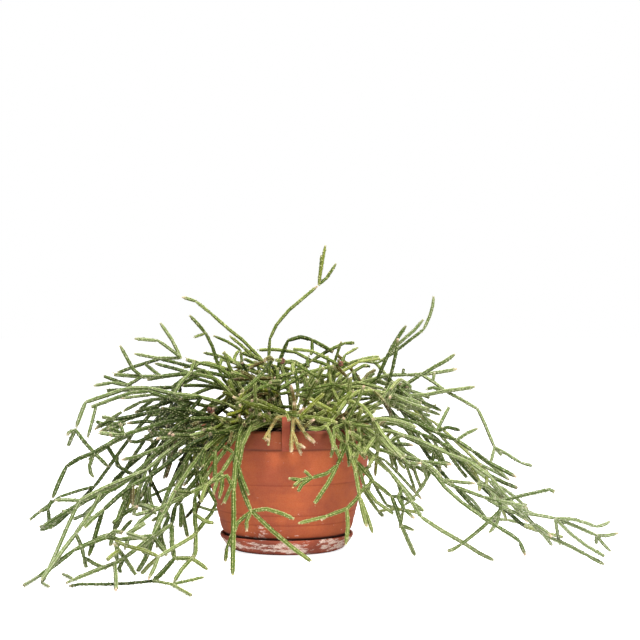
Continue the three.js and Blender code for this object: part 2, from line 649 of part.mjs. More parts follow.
// What the stems keep clear of: the outline of pot, soil and saucer, closed through the axis.
const clearOutline = [
  [0, 0],
  [saucerFoot, 0],
  [saucerRadius, saucerHeight],
  ...potOuter().slice(3),
  [rimRadius, rimHeight - collarHeight],
  [rimRadius, rimHeight],
  [rimInner(rimHeight), rimHeight],
  [rimInner(soilEdge), soilEdge],
  ...[0.75, 0.5, 0.25, 0].map((share) => {
    const radius = share * rimInner(soilEdge);
    return [radius, soilTop(radius)];
  }),
];

// The stretches between a stem's joints, and the clip as three upright ones that stay in place.
const stretches = [];
for (const { path, spray, radius } of stems) {
  for (let i = 1; i < path.length; i++) stretches.push({ a: path[i - 1], b: path[i], spray, radius });
}
const clipPart = 1.9; // the outer two stand this far from the clip's middle
for (const offset of [-clipPart, 0, clipPart]) {
  const [x, y] = [clipCentre + offset, -rimRadius - clipThick / 2 - fitGap];
  const a = addJoint([x, y, clipFoot], true, "clip");
  const b = addJoint([x, y, clipTop], true, "clip");
  stretches.push({ a, b, spray: "clip", radius: clipWidth / 2 - clipPart });
}

const at = (i) => joints[i].point.map((v, n) => v + joints[i].drift[n]);

// How far along each of two stretches their nearest points are.
function nearestShares(p1, q1, p2, q2) {
  const [d1, d2, r] = [minus(q1, p1), minus(q2, p2), minus(p1, p2)];
  const [a, e, f, c, b] = [dot(d1, d1), dot(d2, d2), dot(d2, r), dot(d1, r), dot(d1, d2)];
  const spread = a * e - b * b;
  let s = spread > 1e-9 ? clamp((b * f - c * e) / spread) : 0.5;
  let t = (b * s + f) / e;
  if (t < 0 || t > 1) {
    t = clamp(t);
    s = clamp((b * t - c) / a);
  }
  return [s, t];
}

// Pairs of stretches from two sprays that could touch soon.
function nearPairs() {
  const middles = stretches.map(({ a, b }) => along(at(a), at(b), 0.5));
  const halves = stretches.map(({ a, b }) => distance(at(a), at(b)) / 2);
  const pairs = [];
  for (let m = 0; m < stretches.length; m++) {
    for (let n = m + 1; n < stretches.length; n++) {
      if (stretches[m].spray === stretches[n].spray) continue;
      if (distance(middles[m], middles[n]) < halves[m] + halves[n] + nearReach) pairs.push([m, n]);
    }
  }
  return pairs;
}

// Notes a push of one stretch's point, shared between its two joints.
function push(stretch, share, way, size, pushes) {
  for (const [i, weight] of [[stretch.a, 1 - share], [stretch.b, share]]) {
    if (joints[i].fixed || weight < 1e-6) continue;
    way.forEach((v, n) => (pushes[i][n] += v * size * weight));
    pushes[i][3] += 1;
  }
}

const give = (stretch, share) =>
  (joints[stretch.a].fixed ? 0 : (1 - share) ** 2) + (joints[stretch.b].fixed ? 0 : share ** 2);

function pushApart(one, two, pushes) {
  const [p1, q1, p2, q2] = [at(one.a), at(one.b), at(two.a), at(two.b)];
  const [s, t] = nearestShares(p1, q1, p2, q2);
  const between = minus(along(p2, q2, t), along(p1, q1, s));
  const away = Math.hypot(...between);
  const short = one.radius + two.radius + stemGap - away;
  if (short <= 0) return;
  let way = unit(between);
  if (away < 0.05) {
    way = unit(cross(minus(q1, p1), minus(q2, p2)));
    if (way[2] < 0) way = way.map((v) => -v);
  }
  const ease = give(one, s) + give(two, t);
  if (ease < 1e-6) return;
  push(one, s, way, -short / ease, pushes);
  push(two, t, way, short / ease, pushes);
}

// The way out of the pot's outline for a point, and how far inside the wanted distance it is.
function wayOut([x, y, z], wanted) {
  const radius = Math.hypot(x, y);
  let least = Infinity;
  let nearest = null;
  let inside = false;
  clearOutline.forEach(([r1, z1], i) => {
    const [r2, z2] = clearOutline[(i + 1) % clearOutline.length];
    if (z1 > z !== z2 > z && radius < r1 + ((r2 - r1) * (z - z1)) / (z2 - z1)) inside = !inside;
    if (r1 === 0 && r2 === 0) return;
    const [dr, dz] = [r2 - r1, z2 - z1];
    const t = clamp(((radius - r1) * dr + (z - z1) * dz) / (dr * dr + dz * dz));
    const away = Math.hypot(radius - r1 - dr * t, z - z1 - dz * t);
    if (away < least) [least, nearest] = [away, [r1 + dr * t, z1 + dz * t]];
  });
  const short = inside ? wanted + least : wanted - least;
  if (short <= 0) return null;
  const side = inside ? -1 : 1;
  const [outR, outZ] = [((radius - nearest[0]) / least) * side, ((z - nearest[1]) / least) * side];
  return { way: [(outR * x) / radius, (outR * y) / radius, outZ], short };
}

function clearOfPot(stretch, pushes) {
  if (joints[stretch.a].fixed && joints[stretch.b].fixed) return;
  const [p, q] = [at(stretch.a), at(stretch.b)];
  for (const share of [0, 0.25, 0.5, 0.75, 1]) {
    const ease = give(stretch, share);
    if (ease < 0.05) continue;
    const point = along(p, q, share);
    const out = wayOut(point, stretch.radius + stemGap);
    if (out) push(stretch, share, out.way, out.short / ease, pushes);
    const low = stretch.radius + tableLift - point[2];
    if (low > 0) push(stretch, share, [0, 0, 1], low / ease, pushes);
  }
}

// Each joint's bend, eased towards the mean of the joints that it is linked to.
function easedDrifts(linked) {
  return joints.map(({ drift, fixed }, i) => {
    if (fixed) return drift;
    return drift.map((v, n) => {
      const mean = linked[i].reduce((sum, k) => sum + joints[k].drift[n], 0) / linked[i].length;
      return (v + (mean - v) * easeShare) * drawBack;
    });
  });
}

// Bends the sprays clear of each other, of the pot and of the table. Early rounds also spread each
// bend along its stem and draw the stems back to where they were read.
function bendClear() {
  const linked = joints.map(() => []);
  for (const { a, b } of stretches) {
    linked[a].push(b);
    linked[b].push(a);
  }
  let pairs = [];
  for (let round = 0; round < bendRounds; round++) {
    if (round % pairRounds === 0) pairs = nearPairs();
    const pushes = joints.map(() => [0, 0, 0, 0]);
    for (const [m, n] of pairs) pushApart(stretches[m], stretches[n], pushes);
    for (const stretch of stretches) clearOfPot(stretch, pushes);
    joints.forEach(({ drift }, i) => {
      const share = pushes[i][3] ? pushShare / pushes[i][3] : 0;
      drift.forEach((v, n) => (drift[n] = v + pushes[i][n] * share));
    });
    if (round > bendRounds * easeUntil) continue;
    const eased = easedDrifts(linked);
    joints.forEach((joint, i) => (joint.drift = eased[i]));
  }
}
bendClear();

function solidFrom(points, triangles) {
  const shape = new wasm.Mesh({
    numProp: 3,
    vertProperties: new Float32Array(points.flat()),
    triVerts: new Uint32Array(triangles.flat()),
  });
  return new wasm.Manifold(shape);
}

// A closed sweep: one ring at each point, in a frame that turns with the path but does not twist.
function sweep(points, radii, sides) {
  const rings = [];
  let across = null;
  points.forEach((p, i) => {
    const ahead = unit(minus(points[i + 1] ?? p, points[i - 1] ?? p));
    across ??= Math.abs(ahead[2]) > 0.8 ? [1, 0, 0] : [0, 0, 1];
    across = unit(minus(across, ahead.map((v) => v * dot(across, ahead))));
    const up = cross(ahead, across);
    for (let k = 0; k < sides; k++) {
      const turn = (2 * Math.PI * k) / sides;
      const [c, s] = [Math.cos(turn) * radii[i], Math.sin(turn) * radii[i]];
      rings.push(p.map((v, n) => v + across[n] * c + up[n] * s));
    }
  });
  const triangles = [];
  for (let i = 0; i + 1 < points.length; i++) {
    for (let k = 0; k < sides; k++) {
      const [a, b] = [i * sides + k, i * sides + ((k + 1) % sides)];
      triangles.push([a, b, a + sides], [b, b + sides, a + sides]);
    }
  }
  const last = (points.length - 1) * sides;
  for (let k = 2; k < sides; k++) triangles.push([0, k, k - 1], [last, last + k - 1, last + k]);
  return solidFrom(rings, triangles);
}

function stemSolid(stem, order) {
  const points = stem.path.map(at);
  const radii = points.map((p, i) => {
    if (i === points.length - 1) return stem.radius * tipShare;
    return order > 0 && i === 0 ? stem.radius * forkShare : stem.radius;
  });
  return sweep(points, radii, order > 0 ? twigSides : stemSides);
}

function spraySolid(name) {
  const parts = stems.filter((stem) => stem.spray === name).map(stemSolid);
  return wasm.Manifold.union(parts).simplify(slack);
}

function geometryOf(solid) {
  const mesh = solid.getMesh();
  const geometry = new THREE.BufferGeometry();
  geometry.setAttribute("position", new THREE.BufferAttribute(new Float32Array(mesh.vertProperties), 3));
  geometry.setIndex(new THREE.BufferAttribute(new Uint32Array(mesh.triVerts), 1));
  return geometry;
}

function solidOf(geometry) {
  geometry.deleteAttribute("uv");
  geometry.deleteAttribute("normal");
  const merged = mergeVertices(geometry, 1e-3);
  return new wasm.Manifold(
    new wasm.Mesh({
      numProp: 3,
      vertProperties: new Float32Array(merged.attributes.position.array),
      triVerts: new Uint32Array(merged.index.array),
    }),
  );
}

// A turned solid from its outline of [radius, height] points.
function turned(outline) {
  const first = outline[0];
  const closed = first[0] === 0 ? outline : [...outline, first];
  const geometry = new THREE.LatheGeometry(closed.map(([r, z]) => new THREE.Vector2(r, z)), roundSides);
  geometry.rotateX(Math.PI / 2);
  return solidOf(geometry);
}

// The wall's inner side at three heights, from the foot up, or that much less for what fills it.
function potInner(less) {
  const outer = potOuter();
  return [outer[3], outer[6], outer[9]].map(([radius, height]) => [radius - wall - less, height]);
}

function potSolid() {
  return turned([
    [drainRadius, saucerFloor + fitGap],
    ...potOuter(),
    [rimRadius, rimHeight - collarHeight + rimEdge / 2],
    [rimRadius, rimHeight - rimEdge],
    [rimRadius - rimEdge, rimHeight],
    [rimInner(rimHeight), rimHeight],
    ...potInner(0).reverse(),
    [innerFoot, potFloor],
    [drainRadius, potFloor],
  ]);
}

function saucerSolid() {
  return turned([
    [0, 0],
    [saucerFoot, 0],
    [saucerFoot + 2, 1],
    [saucerRadius, saucerHeight - 1],
    [saucerRadius - 0.8, saucerHeight],
    [saucerRadius - saucerLip, saucerHeight - 0.6],
    [footRadius + 1.6, saucerFloor + 1.6],
    [footRadius + 0.5, saucerFloor],
    [0, saucerFloor],
  ]);
}

// A plain round hole in the soil for a stem's foot.
function rootHole([x, y, z]) {
  const depth = rootDepth + 10;
  const hole = new THREE.CylinderGeometry(stemRadius + rootGap, stemRadius + rootGap, depth, holeSides);
  hole.rotateX(Math.PI / 2).translate(x, y, z - rootGap + depth / 2);
  return solidOf(hole);
}

// The soil fills the pot, and each spray's foot stands in a hole of its own.
function soilSolid() {
  const edge = rimInner(soilEdge) - fitGap;
  const mound = [1, 0.75, 0.4, 0].map((share) => [edge * share, soilTop(edge * share)]);
  const low = potFloor + fitGap;
  const body = turned([[0, low], [innerFoot - fitGap, low], ...potInner(fitGap), ...mound]);
  const feet = stems.map((stem) => stem.path[0]).filter((foot) => joints[foot].fixed);
  return body.subtract(wasm.Manifold.union(feet.map((foot) => rootHole(at(foot)))));
}

// The clip's section is drawn as [out from the rim's outside, up] and runs across its width.
function clipSolid() {
  const front = fitGap;
  const face = front + clipThick;
  const back = rimInner(rimHeight) - rimRadius - fitGap - clipSlack;
  const leg = back - clipThick;
  const shelf = rimHeight + fitGap;
  const over = shelf + clipThick;
  const corners = [
    [front, clipFoot], [face, clipFoot], [face, clipTop], [front, clipTop], [front, over],
    [leg, over], [leg, clipInner], [back, clipInner], [back, shelf], [front, shelf],
  ];
  const section = new THREE.Shape(corners.map(([out, up]) => new THREE.Vector2(out, up)));
  const geometry = new THREE.ExtrudeGeometry(section, { depth: clipWidth, bevelEnabled: false });
  geometry.translate(0, 0, -clipWidth / 2);
  geometry.rotateX(Math.PI / 2).rotateZ(-Math.PI / 2);
  geometry.translate(clipCentre, -rimRadius, 0);
  return solidOf(geometry);
}

const part = new THREE.Group();
part.name = "potted_rhipsalis";

function addPiece(name, solid, color, roughness) {
  const material = new THREE.MeshStandardMaterial({ color, roughness, metalness: 0 });
  const mesh = new THREE.Mesh(geometryOf(solid), material);
  mesh.name = name;
  part.add(mesh);
}

addPiece("saucer", saucerSolid(), 0xa8603f, 0.88);
addPiece("pot", potSolid(), 0xb8663f, 0.85);
addPiece("soil", soilSolid(), 0x3b2a1f, 1);
addPiece("rim_clip", clipSolid(), 0x964a32, 0.7);
const plainName = (name) => name.replace(/[A-Z]/g, (letter) => "_" + letter.toLowerCase());
for (const name of new Set(stems.map((stem) => stem.spray))) {
  addPiece("spray_" + plainName(name), spraySolid(name), 0x586c2a, 0.55);
}

export default part;
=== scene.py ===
# A rhipsalis prismatica in its terracotta pot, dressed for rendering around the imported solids.
# The stems follow the same read points and the same bending as the part's own source, and each
# finer piece stands for the plain solid of its spray.

import bpy
import bmesh
import math
import numpy as np
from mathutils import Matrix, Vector, kdtree, noise


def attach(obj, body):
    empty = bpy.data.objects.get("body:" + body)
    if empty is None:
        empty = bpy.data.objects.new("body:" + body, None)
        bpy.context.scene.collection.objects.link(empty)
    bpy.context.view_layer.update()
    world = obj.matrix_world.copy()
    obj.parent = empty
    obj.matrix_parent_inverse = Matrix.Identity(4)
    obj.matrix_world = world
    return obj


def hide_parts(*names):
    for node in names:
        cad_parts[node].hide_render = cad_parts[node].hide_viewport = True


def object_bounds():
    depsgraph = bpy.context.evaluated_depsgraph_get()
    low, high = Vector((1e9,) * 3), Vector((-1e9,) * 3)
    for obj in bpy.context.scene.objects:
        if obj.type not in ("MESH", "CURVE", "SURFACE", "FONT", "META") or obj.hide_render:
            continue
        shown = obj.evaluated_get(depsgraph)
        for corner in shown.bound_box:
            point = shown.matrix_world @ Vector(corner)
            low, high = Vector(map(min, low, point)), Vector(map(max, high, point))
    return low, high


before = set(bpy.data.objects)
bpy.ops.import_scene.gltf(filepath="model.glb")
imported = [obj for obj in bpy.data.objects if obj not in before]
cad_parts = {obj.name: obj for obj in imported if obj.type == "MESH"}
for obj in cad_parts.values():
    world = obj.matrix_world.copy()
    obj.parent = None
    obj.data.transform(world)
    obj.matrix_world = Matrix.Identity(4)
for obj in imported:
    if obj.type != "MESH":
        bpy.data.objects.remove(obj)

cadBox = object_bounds()
mm = 0.001
print("frame loaded")


# Camera: an eye a little above the plant, looking almost level. The stems are read from it too.
eye = {"across": 29, "distance": 1500, "height": 227, "aimHeight": 198.3, "lens": 97.0}


def addObject(name, data):
    thing = bpy.data.objects.new(name, data)
    bpy.context.scene.collection.objects.link(thing)
    return thing


def setCamera():
    camera = addObject("camera", bpy.data.cameras.new("camera"))
    camera.data.lens = eye["lens"]
    camera.data.sensor_width = 36
    camera.data.clip_end = 50
    camera.location = Vector((eye["across"], -eye["distance"], eye["height"])) * mm
    aim = Vector((eye["across"], 0, eye["aimHeight"])) * mm - camera.location
    camera.rotation_euler = aim.to_track_quat("-Z", "Y").to_euler()
    bpy.context.scene.camera = camera


setCamera()
print("camera set")


# Small helpers for node trees: each adds a node and sets its inputs.
def setInputs(tree, node, inputs):
    for key, value in inputs.items():
        socket = node.inputs[key]
        if isinstance(value, bpy.types.NodeSocket):
            tree.links.new(value, socket)
        else:
            socket.default_value = value
    return node


def addNode(tree, kind, inputs=None, **settings):
    node = tree.nodes.new(kind)
    for key, value in settings.items():
        setattr(node, key, value)
    return setInputs(tree, node, inputs or {})


def mathNode(tree, operation, a, b=0.0, clamp=False):
    return addNode(tree, "ShaderNodeMath", {0: a, 1: b}, operation=operation, use_clamp=clamp).outputs[0]


def vectorNode(tree, operation, inputs, output=0):
    return addNode(tree, "ShaderNodeVectorMath", inputs, operation=operation).outputs[output]


def mixColour(tree, factor, a, b, blend="MIX"):
    inputs = {0: factor, 6: a, 7: b}
    return addNode(tree, "ShaderNodeMix", inputs, data_type="RGBA", blend_type=blend).outputs[2]


def stepUp(tree, value, low, high, outLow=0.0, outHigh=1.0):
    inputs = {"Value": value, "From Min": low, "From Max": high, "To Min": outLow, "To Max": outHigh}
    return addNode(tree, "ShaderNodeMapRange", inputs, interpolation_type="SMOOTHSTEP").outputs[0]


def noiseNode(tree, where, scale, detail, roughness=0.5):
    inputs = {"Vector": where, "Scale": scale, "Detail": detail, "Roughness": roughness}
    return addNode(tree, "ShaderNodeTexNoise", inputs).outputs[0]


def shown(red, green, blue):
    # a colour as it shows on screen, made linear
    def linear(v):
        v /= 255
        return v / 12.92 if v <= 0.04045 else ((v + 0.055) / 1.055) ** 2.4
    return (linear(red), linear(green), linear(blue), 1)


def newTree(name, kind, inputs, outputs):
    # a node group with named sockets: gives the tree, what comes in and what goes out
    tree = bpy.data.node_groups.new(name, kind)
    for label, socketKind, value in inputs:
        socket = tree.interface.new_socket(label, in_out="INPUT", socket_type="NodeSocket" + socketKind)
        if value is not None:
            socket.default_value = value
    for label, socketKind in outputs:
        tree.interface.new_socket(label, in_out="OUTPUT", socket_type="NodeSocket" + socketKind)
    return tree, tree.nodes.new("NodeGroupInput").outputs, tree.nodes.new("NodeGroupOutput").inputs


def newMaterial(name):
    material = bpy.data.materials.new(name)
    material.use_nodes = True
    tree = material.node_tree
    shader = next(n for n in tree.nodes if n.type == "BSDF_PRINCIPLED")
    where = tree.nodes.new("ShaderNodeTexCoord").outputs["Object"]
    return material, tree, shader, where


def addBump(tree, shader, height, strength, distance):
    bump = addNode(tree, "ShaderNodeBump", {"Height": height, "Strength": strength, "Distance": distance})
    tree.links.new(bump.outputs[0], shader.inputs["Normal"])


# Fired clay: a grain, slow blotches and white lime bloom, for pot, saucer and clip.
clay = {
    "blotchScale": 34, "grainScale": 900, "pitScale": 420, "bloomStretch": 3.2, "bloomEdge": 0.07,
    # the darkest clay colour here is the colour of the painted shade by height, and of damp dirt on the pot's
    # collar
    "bloomStart": 0.78, "bloomCover": 0.92, "bloomColour": shown(250, 232, 218), "dirt": shown(38, 14, 8),
    "grainTint": (0.9, 0.58, 0.42, 1), "grainDepth": 0.42, "bump": 0.35, "bumpHeight": 0.0004,
}


def clayGroup():
    inputs = [
        ("Where", "Vector", (0, 0, 0)),
        ("Light Clay", "Color", (1, 1, 1, 1)),
        ("Dark Clay", "Color", (0, 0, 0, 1)),
        ("Bloom Amount", "Float", 0.3),
        ("Bloom Size", "Float", 120.0),
    ]
    outputs = [("Colour", "Color"), ("Roughness", "Float"), ("Height", "Float")]
    group, given, ends = newTree("firedClay", "ShaderNodeTree", inputs, outputs)
    where = given["Where"]
    blotch = noiseNode(group, where, clay["blotchScale"], 5, 0.6)
    grain = noiseNode(group, where, clay["grainScale"], 3)
    pits = addNode(group, "ShaderNodeTexVoronoi", {"Vector": where, "Scale": clay["pitScale"]}).outputs[0]
    stretched = addNode(group, "ShaderNodeMapping", {"Vector": where, "Scale": (1, 1, clay["bloomStretch"])})
    bloom = noiseNode(group, stretched.outputs[0], given["Bloom Size"], 7, 0.68)
    edge = mathNode(group, "SUBTRACT", clay["bloomStart"], given["Bloom Amount"])
    full = mathNode(group, "ADD", edge, clay["bloomEdge"])
    limits = {"Value": bloom, "From Min": edge, "From Max": full}
    mask = addNode(group, "ShaderNodeMapRange", limits).outputs[0]
    mask = mathNode(group, "MULTIPLY", mask, stepUp(group, grain, 0.36, 0.56, 0.55, 1.0), True)
    body = mixColour(group, stepUp(group, blotch, 0.36, 0.66), given["Dark Clay"], given["Light Clay"])
    grainShade = stepUp(group, grain, 0.35, 0.68, 0.0, clay["grainDepth"])
    body = mixColour(group, grainShade, body, clay["grainTint"], "MULTIPLY")
    body = mixColour(group, mathNode(group, "MULTIPLY", mask, clay["bloomCover"]), body, clay["bloomColour"])
    flakes = mathNode(group, "MULTIPLY", mask, 0.9)
    relief = mathNode(group, "ADD", mathNode(group, "MULTIPLY", grain, 0.6), flakes)
    group.links.new(body, ends["Colour"])
    group.links.new(stepUp(group, blotch, 0.3, 0.7, 0.72, 0.92), ends["Roughness"])
    group.links.new(mathNode(group, "ADD", relief, stepUp(group, pits, 0.0, 0.12, -0.5, 0.0)), ends["Height"])
    return group


firedClay = clayGroup()


def alongHeight(tree, height, stops):
    # a value that changes with the height above the table, from [height, value] stops
    total = stops[0][1]
    for (low, before), (high, after) in zip(stops, stops[1:]):
        if before != after:
            total = mathNode(tree, "ADD", total, stepUp(tree, height, low * mm, high * mm, 0, after - before))
    return total


def clayMaterial(name, finish):
    material, tree, shader, where = newMaterial(name)
    height = addNode(tree, "ShaderNodeSeparateXYZ", {0: where}).outputs[2]
    bloom = alongHeight(tree, height, finish["bloom"])
    if "crust" in finish:
        away = vectorNode(tree, "DISTANCE", {0: where, 1: Vector(finish["crust"]) * mm}, 1)
        crust = stepUp(tree, away, 0, finish["crustReach"] * mm, finish["crustShare"], 0)
        bloom = mathNode(tree, "ADD", bloom, crust)
    inputs = {"Where": where, "Light Clay": finish["light"], "Dark Clay": finish["dark"],
              "Bloom Amount": bloom, "Bloom Size": finish["bloomSize"]}
    out = setInputs(tree, addNode(tree, "ShaderNodeGroup", node_tree=firedClay), inputs).outputs
    # painted shade by height, from each piece's stops: the pot's foot behind the saucer's lip, its lower
    # wall, the step under its collar, the saucer's bottom edge and the clip's top; on the collar, painted
    # shade together with damp and dirt
    colour = mixColour(tree, alongHeight(tree, height, finish["stainAndShade"]), out["Colour"], clay["dirt"])
    for line in finish.get("turningLines", []):
        away = mathNode(tree, "ABSOLUTE", mathNode(tree, "SUBTRACT", height, line * mm))
        # painted shade along each turning line's groove
        shade = stepUp(tree, away, 0.2 * mm, 1.0 * mm, 0.3, 0)
        colour = mixColour(tree, shade, colour, finish["dark"], "MULTIPLY")
    tree.links.new(colour, shader.inputs["Base Color"])
    tree.links.new(out["Roughness"], shader.inputs["Roughness"])
    addBump(tree, shader, out["Height"], clay["bump"], clay["bumpHeight"])
    return material


def shapePiece(name, shape):
    # a piece from a bmesh, with its faces turned outwards
    bmesh.ops.recalc_face_normals(shape, faces=shape.faces)
    mesh = bpy.data.meshes.new(name)
    shape.to_mesh(mesh)
    shape.free()
    return addObject(name, mesh)


# A turned solid: a closed outline of [radius, height] points, in millimetres, round the axis.
def turnedPiece(name, outline, sides, wobble=0.0):
    shape = bmesh.new()
    rings = []
    for radius, height in outline:
        if radius == 0:
            rings.append([shape.verts.new((0, 0, height * mm))])
            continue
        ring = []
        for k in range(sides):
            across, ahead = math.cos(2 * math.pi * k / sides), math.sin(2 * math.pi * k / sides)
            drift = 1 + wobble * noise.noise(Vector((across * 1.3, ahead * 1.3, height * 0.03)))
            spot = (radius * drift * across, radius * drift * ahead, height)
            ring.append(shape.verts.new(Vector(spot) * mm))
        rings.append(ring)
    closed = outline[0][0] != 0
    pairs = list(zip(rings, rings[1:])) + ([(rings[-1], rings[0])] if closed else [])
    for low, high in pairs:
        for k in range(sides):
            nextUp = (k + 1) % len(high)
            corner = [low[k % len(low)], low[(k + 1) % len(low)], high[nextUp], high[k % len(high)]]
            face = list(dict.fromkeys(corner))
            if len(face) > 2:
                shape.faces.new(face)
    for face in shape.faces:
        face.smooth = True
    return shapePiece(name, shape)


def finishPiece(piece, material, nodes):
    piece.data.materials.clear()
    piece.data.materials.append(material)
    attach(piece, "root")
    if nodes:
        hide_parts(*nodes)


# Pot: a half pot with a collar, and faint turning lines round its wall.
pot = {
    "rimRadius": 75, "rimHeight": 107, "collarHeight": 15, "collarStep": 2.2, "wall": 5, "innerLean": 0.08,
    "outside": [[47.5, 4.3], [50, 6.3], [52.6, 12], [56.8, 19], [59.6, 30], [62.2, 40], [64.9, 50],
                [67.4, 60], [70.2, 73]],
    "inside": [[62.4, 60], [51.8, 19], [43, 11]], "underside": 4.3, "drain": 9, "sides": 128,
    "wallRings": (9.0, 91.5, 1.25), "turningLines": [26.6, 35.0, 61.3], "groove": 0.28, "grooveReach": 0.8,
    "wobble": 0.0012, "ripple": 0.1, "light": shown(193, 102, 60), "dark": shown(168, 82, 50),
    # painted shade: the foot behind the saucer's lip and, faintly, the lower wall, then a painted shadow
    # under the collar; the collar is darker as painted shade from the foliage and as damp, dirty clay
    "stainAndShade": [(14.8, 0.95), (16.8, 0.09), (58, 0.09), (76, 0), (89.5, 0), (91.6, 0.6), (92.6, 0.34),
              (107, 0.42)],
    "bloom": [(12, 0.24), (26, 0.11)], "bloomSize": 110,
    "crust": (-20, -54, 22), "crustReach": 10, "crustShare": 0.2,
}
pot["neck"] = pot["rimRadius"] - pot["collarStep"]
pot["lip"] = pot["rimHeight"] - pot["collarHeight"]


def rimInner(height):
    return pot["neck"] - pot["wall"] + (height - pot["rimHeight"]) * pot["innerLean"]


def potWall():
    # the outer wall from foot to collar, with a shallow groove at each turning line
    radii, heights = zip(*(pot["outside"] + [[pot["neck"], pot["lip"]]]))
    wall = pot["outside"][:2]
    for height in np.arange(*pot["wallRings"]):
        radius = float(np.interp(height, heights, radii))
        groove = sum(pot["groove"] * math.exp(-((height - line) / pot["grooveReach"]) ** 2)
                     for line in pot["turningLines"])
        wall.append([radius - groove + pot["ripple"] * math.sin(height * 0.9), float(height)])
    return wall


def makePot():
    rim, top, lip = pot["rimRadius"], pot["rimHeight"], pot["lip"]
    outline = [[pot["drain"], pot["underside"]]] + potWall()
    outline += [[pot["neck"] - 0.2, lip - 0.4], [rim - 0.8, lip], [rim - 0.1, lip + 1.0], [rim, lip + 4],
                [rim - 0.15, lip + 8], [rim, top - 2.6], [rim - 0.7, top - 0.7], [rim - 2.2, top - 0.05],
                [rimInner(top) + 1.6, top - 0.05], [rimInner(top) + 0.3, top - 0.5],
                [rimInner(top) - 0.1, top - 1.4], [rimInner(lip), lip]]
    outline += pot["inside"] + [[pot["drain"], pot["inside"][-1][1]]]
    piece = turnedPiece("pot_body", outline, pot["sides"], pot["wobble"])
    finishPiece(piece, clayMaterial("potClay", pot), ["pot"])


makePot()
print("pot made")


# Saucer: a shallow dish with a rolled lip, limed by hard water.
saucer = {
    "radius": 58, "height": 14, "foot": 47, "floor": 4, "sides": 128, "wobble": 0.0015,
    "light": shown(178, 90, 64), "dark": shown(140, 68, 48),
    # painted shade: the saucer is darker along its bottom edge, at the table
    "stainAndShade": [(0.6, 0.5), (3.5, 0)], "bloom": [(1.5, 0.18), (5, 0.33), (10, 0.33), (12.8, 0.24)],
    "bloomSize": 60,
}


def makeSaucer():
    rim, top, foot = saucer["radius"], saucer["height"], saucer["foot"]
    outline = [[0, 0], [foot - 3, 0], [foot, 0.3], [foot + 3.0, 1.6], [foot + 6.5, 5.2],
               [rim - 1.4, top - 4.6], [rim - 0.3, top - 2.6], [rim, top - 1.3], [rim - 0.4, top - 0.3],
               [rim - 1.3, top - 0.02], [rim - 2.1, top - 0.5], [rim - 2.8, top - 2.2], [rim - 4.4, 6.2],
               [foot + 4.6, 4.6], [foot + 2.5, saucer["floor"]], [0, saucer["floor"]]]
    piece = turnedPiece("saucer_dish", outline, saucer["sides"], saucer["wobble"])
    finishPiece(piece, clayMaterial("saucerClay", saucer), ["saucer"])


makeSaucer()
print("saucer made")


# Soil: a mound with a broken surface and loose crumbs on it.
soil = {
    "edge": 100, "rise": 11, "rings": 34, "sides": 110, "gap": 0.35, "roughness": 1.3, "lumpScale": 160,
    "below": [[46, 11.3], [50.8, 20], [61.0, 57]], "shoulder": 88,
    "crumbs": 1500, "crumbSize": (0.6, 2.3), "crumbMargin": 2.5, "seed": 7,
    "dark": shown(44, 27, 19), "light": shown(124, 84, 58),
}


def soilTop(radius):
    share = min(1, radius / (pot["neck"] - pot["wall"]))
    return soil["edge"] + soil["rise"] * (1 - share * share)


def soilMaterial():
    material, tree, shader, where = newMaterial("pottingSoil")
    clods = addNode(tree, "ShaderNodeTexVoronoi", {"Vector": where, "Scale": 260}).outputs["Color"]
    lump = addNode(tree, "ShaderNodeSeparateColor", {0: clods}).outputs[0]
    fine = noiseNode(tree, where, 700, 5)
    tint = mathNode(tree, "MULTIPLY", stepUp(tree, lump, 0.2, 1.0), stepUp(tree, fine, 0.35, 0.7))
    tree.links.new(mixColour(tree, tint, soil["dark"], soil["light"]), shader.inputs["Base Color"])
    shader.inputs["Roughness"].default_value = 0.97
    addBump(tree, shader, fine, 0.8, 0.0012)
    return material


def randomNode(tree, low, high, seed, kind="FLOAT"):
    # a random value per point: the vector kind has its sockets first, the single one later
    first, output = (0, 0) if kind == "FLOAT_VECTOR" else (2, 1)
    inputs = {first: low, first + 1: high, "Seed": seed}
    return addNode(tree, "FunctionNodeRandomValue", inputs, data_type=kind).outputs[output]


def endTree(tree, geometry, material, ends):
    real = addNode(tree, "GeometryNodeRealizeInstances", {0: geometry}).outputs[0]
    done = addNode(tree, "GeometryNodeSetMaterial", {"Geometry": real, "Material": material}).outputs[0]
    tree.links.new(done, ends[0])


def crumbTree(material):
    # loose crumbs scattered over the soil's top, each turned and sized at random
    smallest, largest = soil["crumbSize"]
    inputs = [("Geometry", "Geometry", None), ("Smallest", "Float", smallest * mm),
              ("Largest", "Float", largest * mm), ("Seed", "Int", soil["seed"])]
    tree, given, ends = newTree("looseCrumbs", "GeometryNodeTree", inputs, [("Geometry", "Geometry")])
    crumb = addNode(tree, "GeometryNodeMeshIcoSphere", {"Radius": 0.5, "Subdivisions": 1}).outputs[0]
    size = randomNode(tree, given["Smallest"], given["Largest"], given["Seed"])
    squash = randomNode(tree, (0.6, 0.6, 0.4), (1.3, 1.0, 0.8), 3, "FLOAT_VECTOR")
    turn = randomNode(tree, (0, 0, 0), (6.28, 6.28, 6.28), 5, "FLOAT_VECTOR")
    scale = vectorNode(tree, "SCALE", {0: squash, "Scale": size})
    placing = {"Points": given["Geometry"], "Instance": crumb, "Rotation": turn, "Scale": scale}
    placed = addNode(tree, "GeometryNodeInstanceOnPoints", placing).outputs[0]
    endTree(tree, placed, material, ends)
    return tree


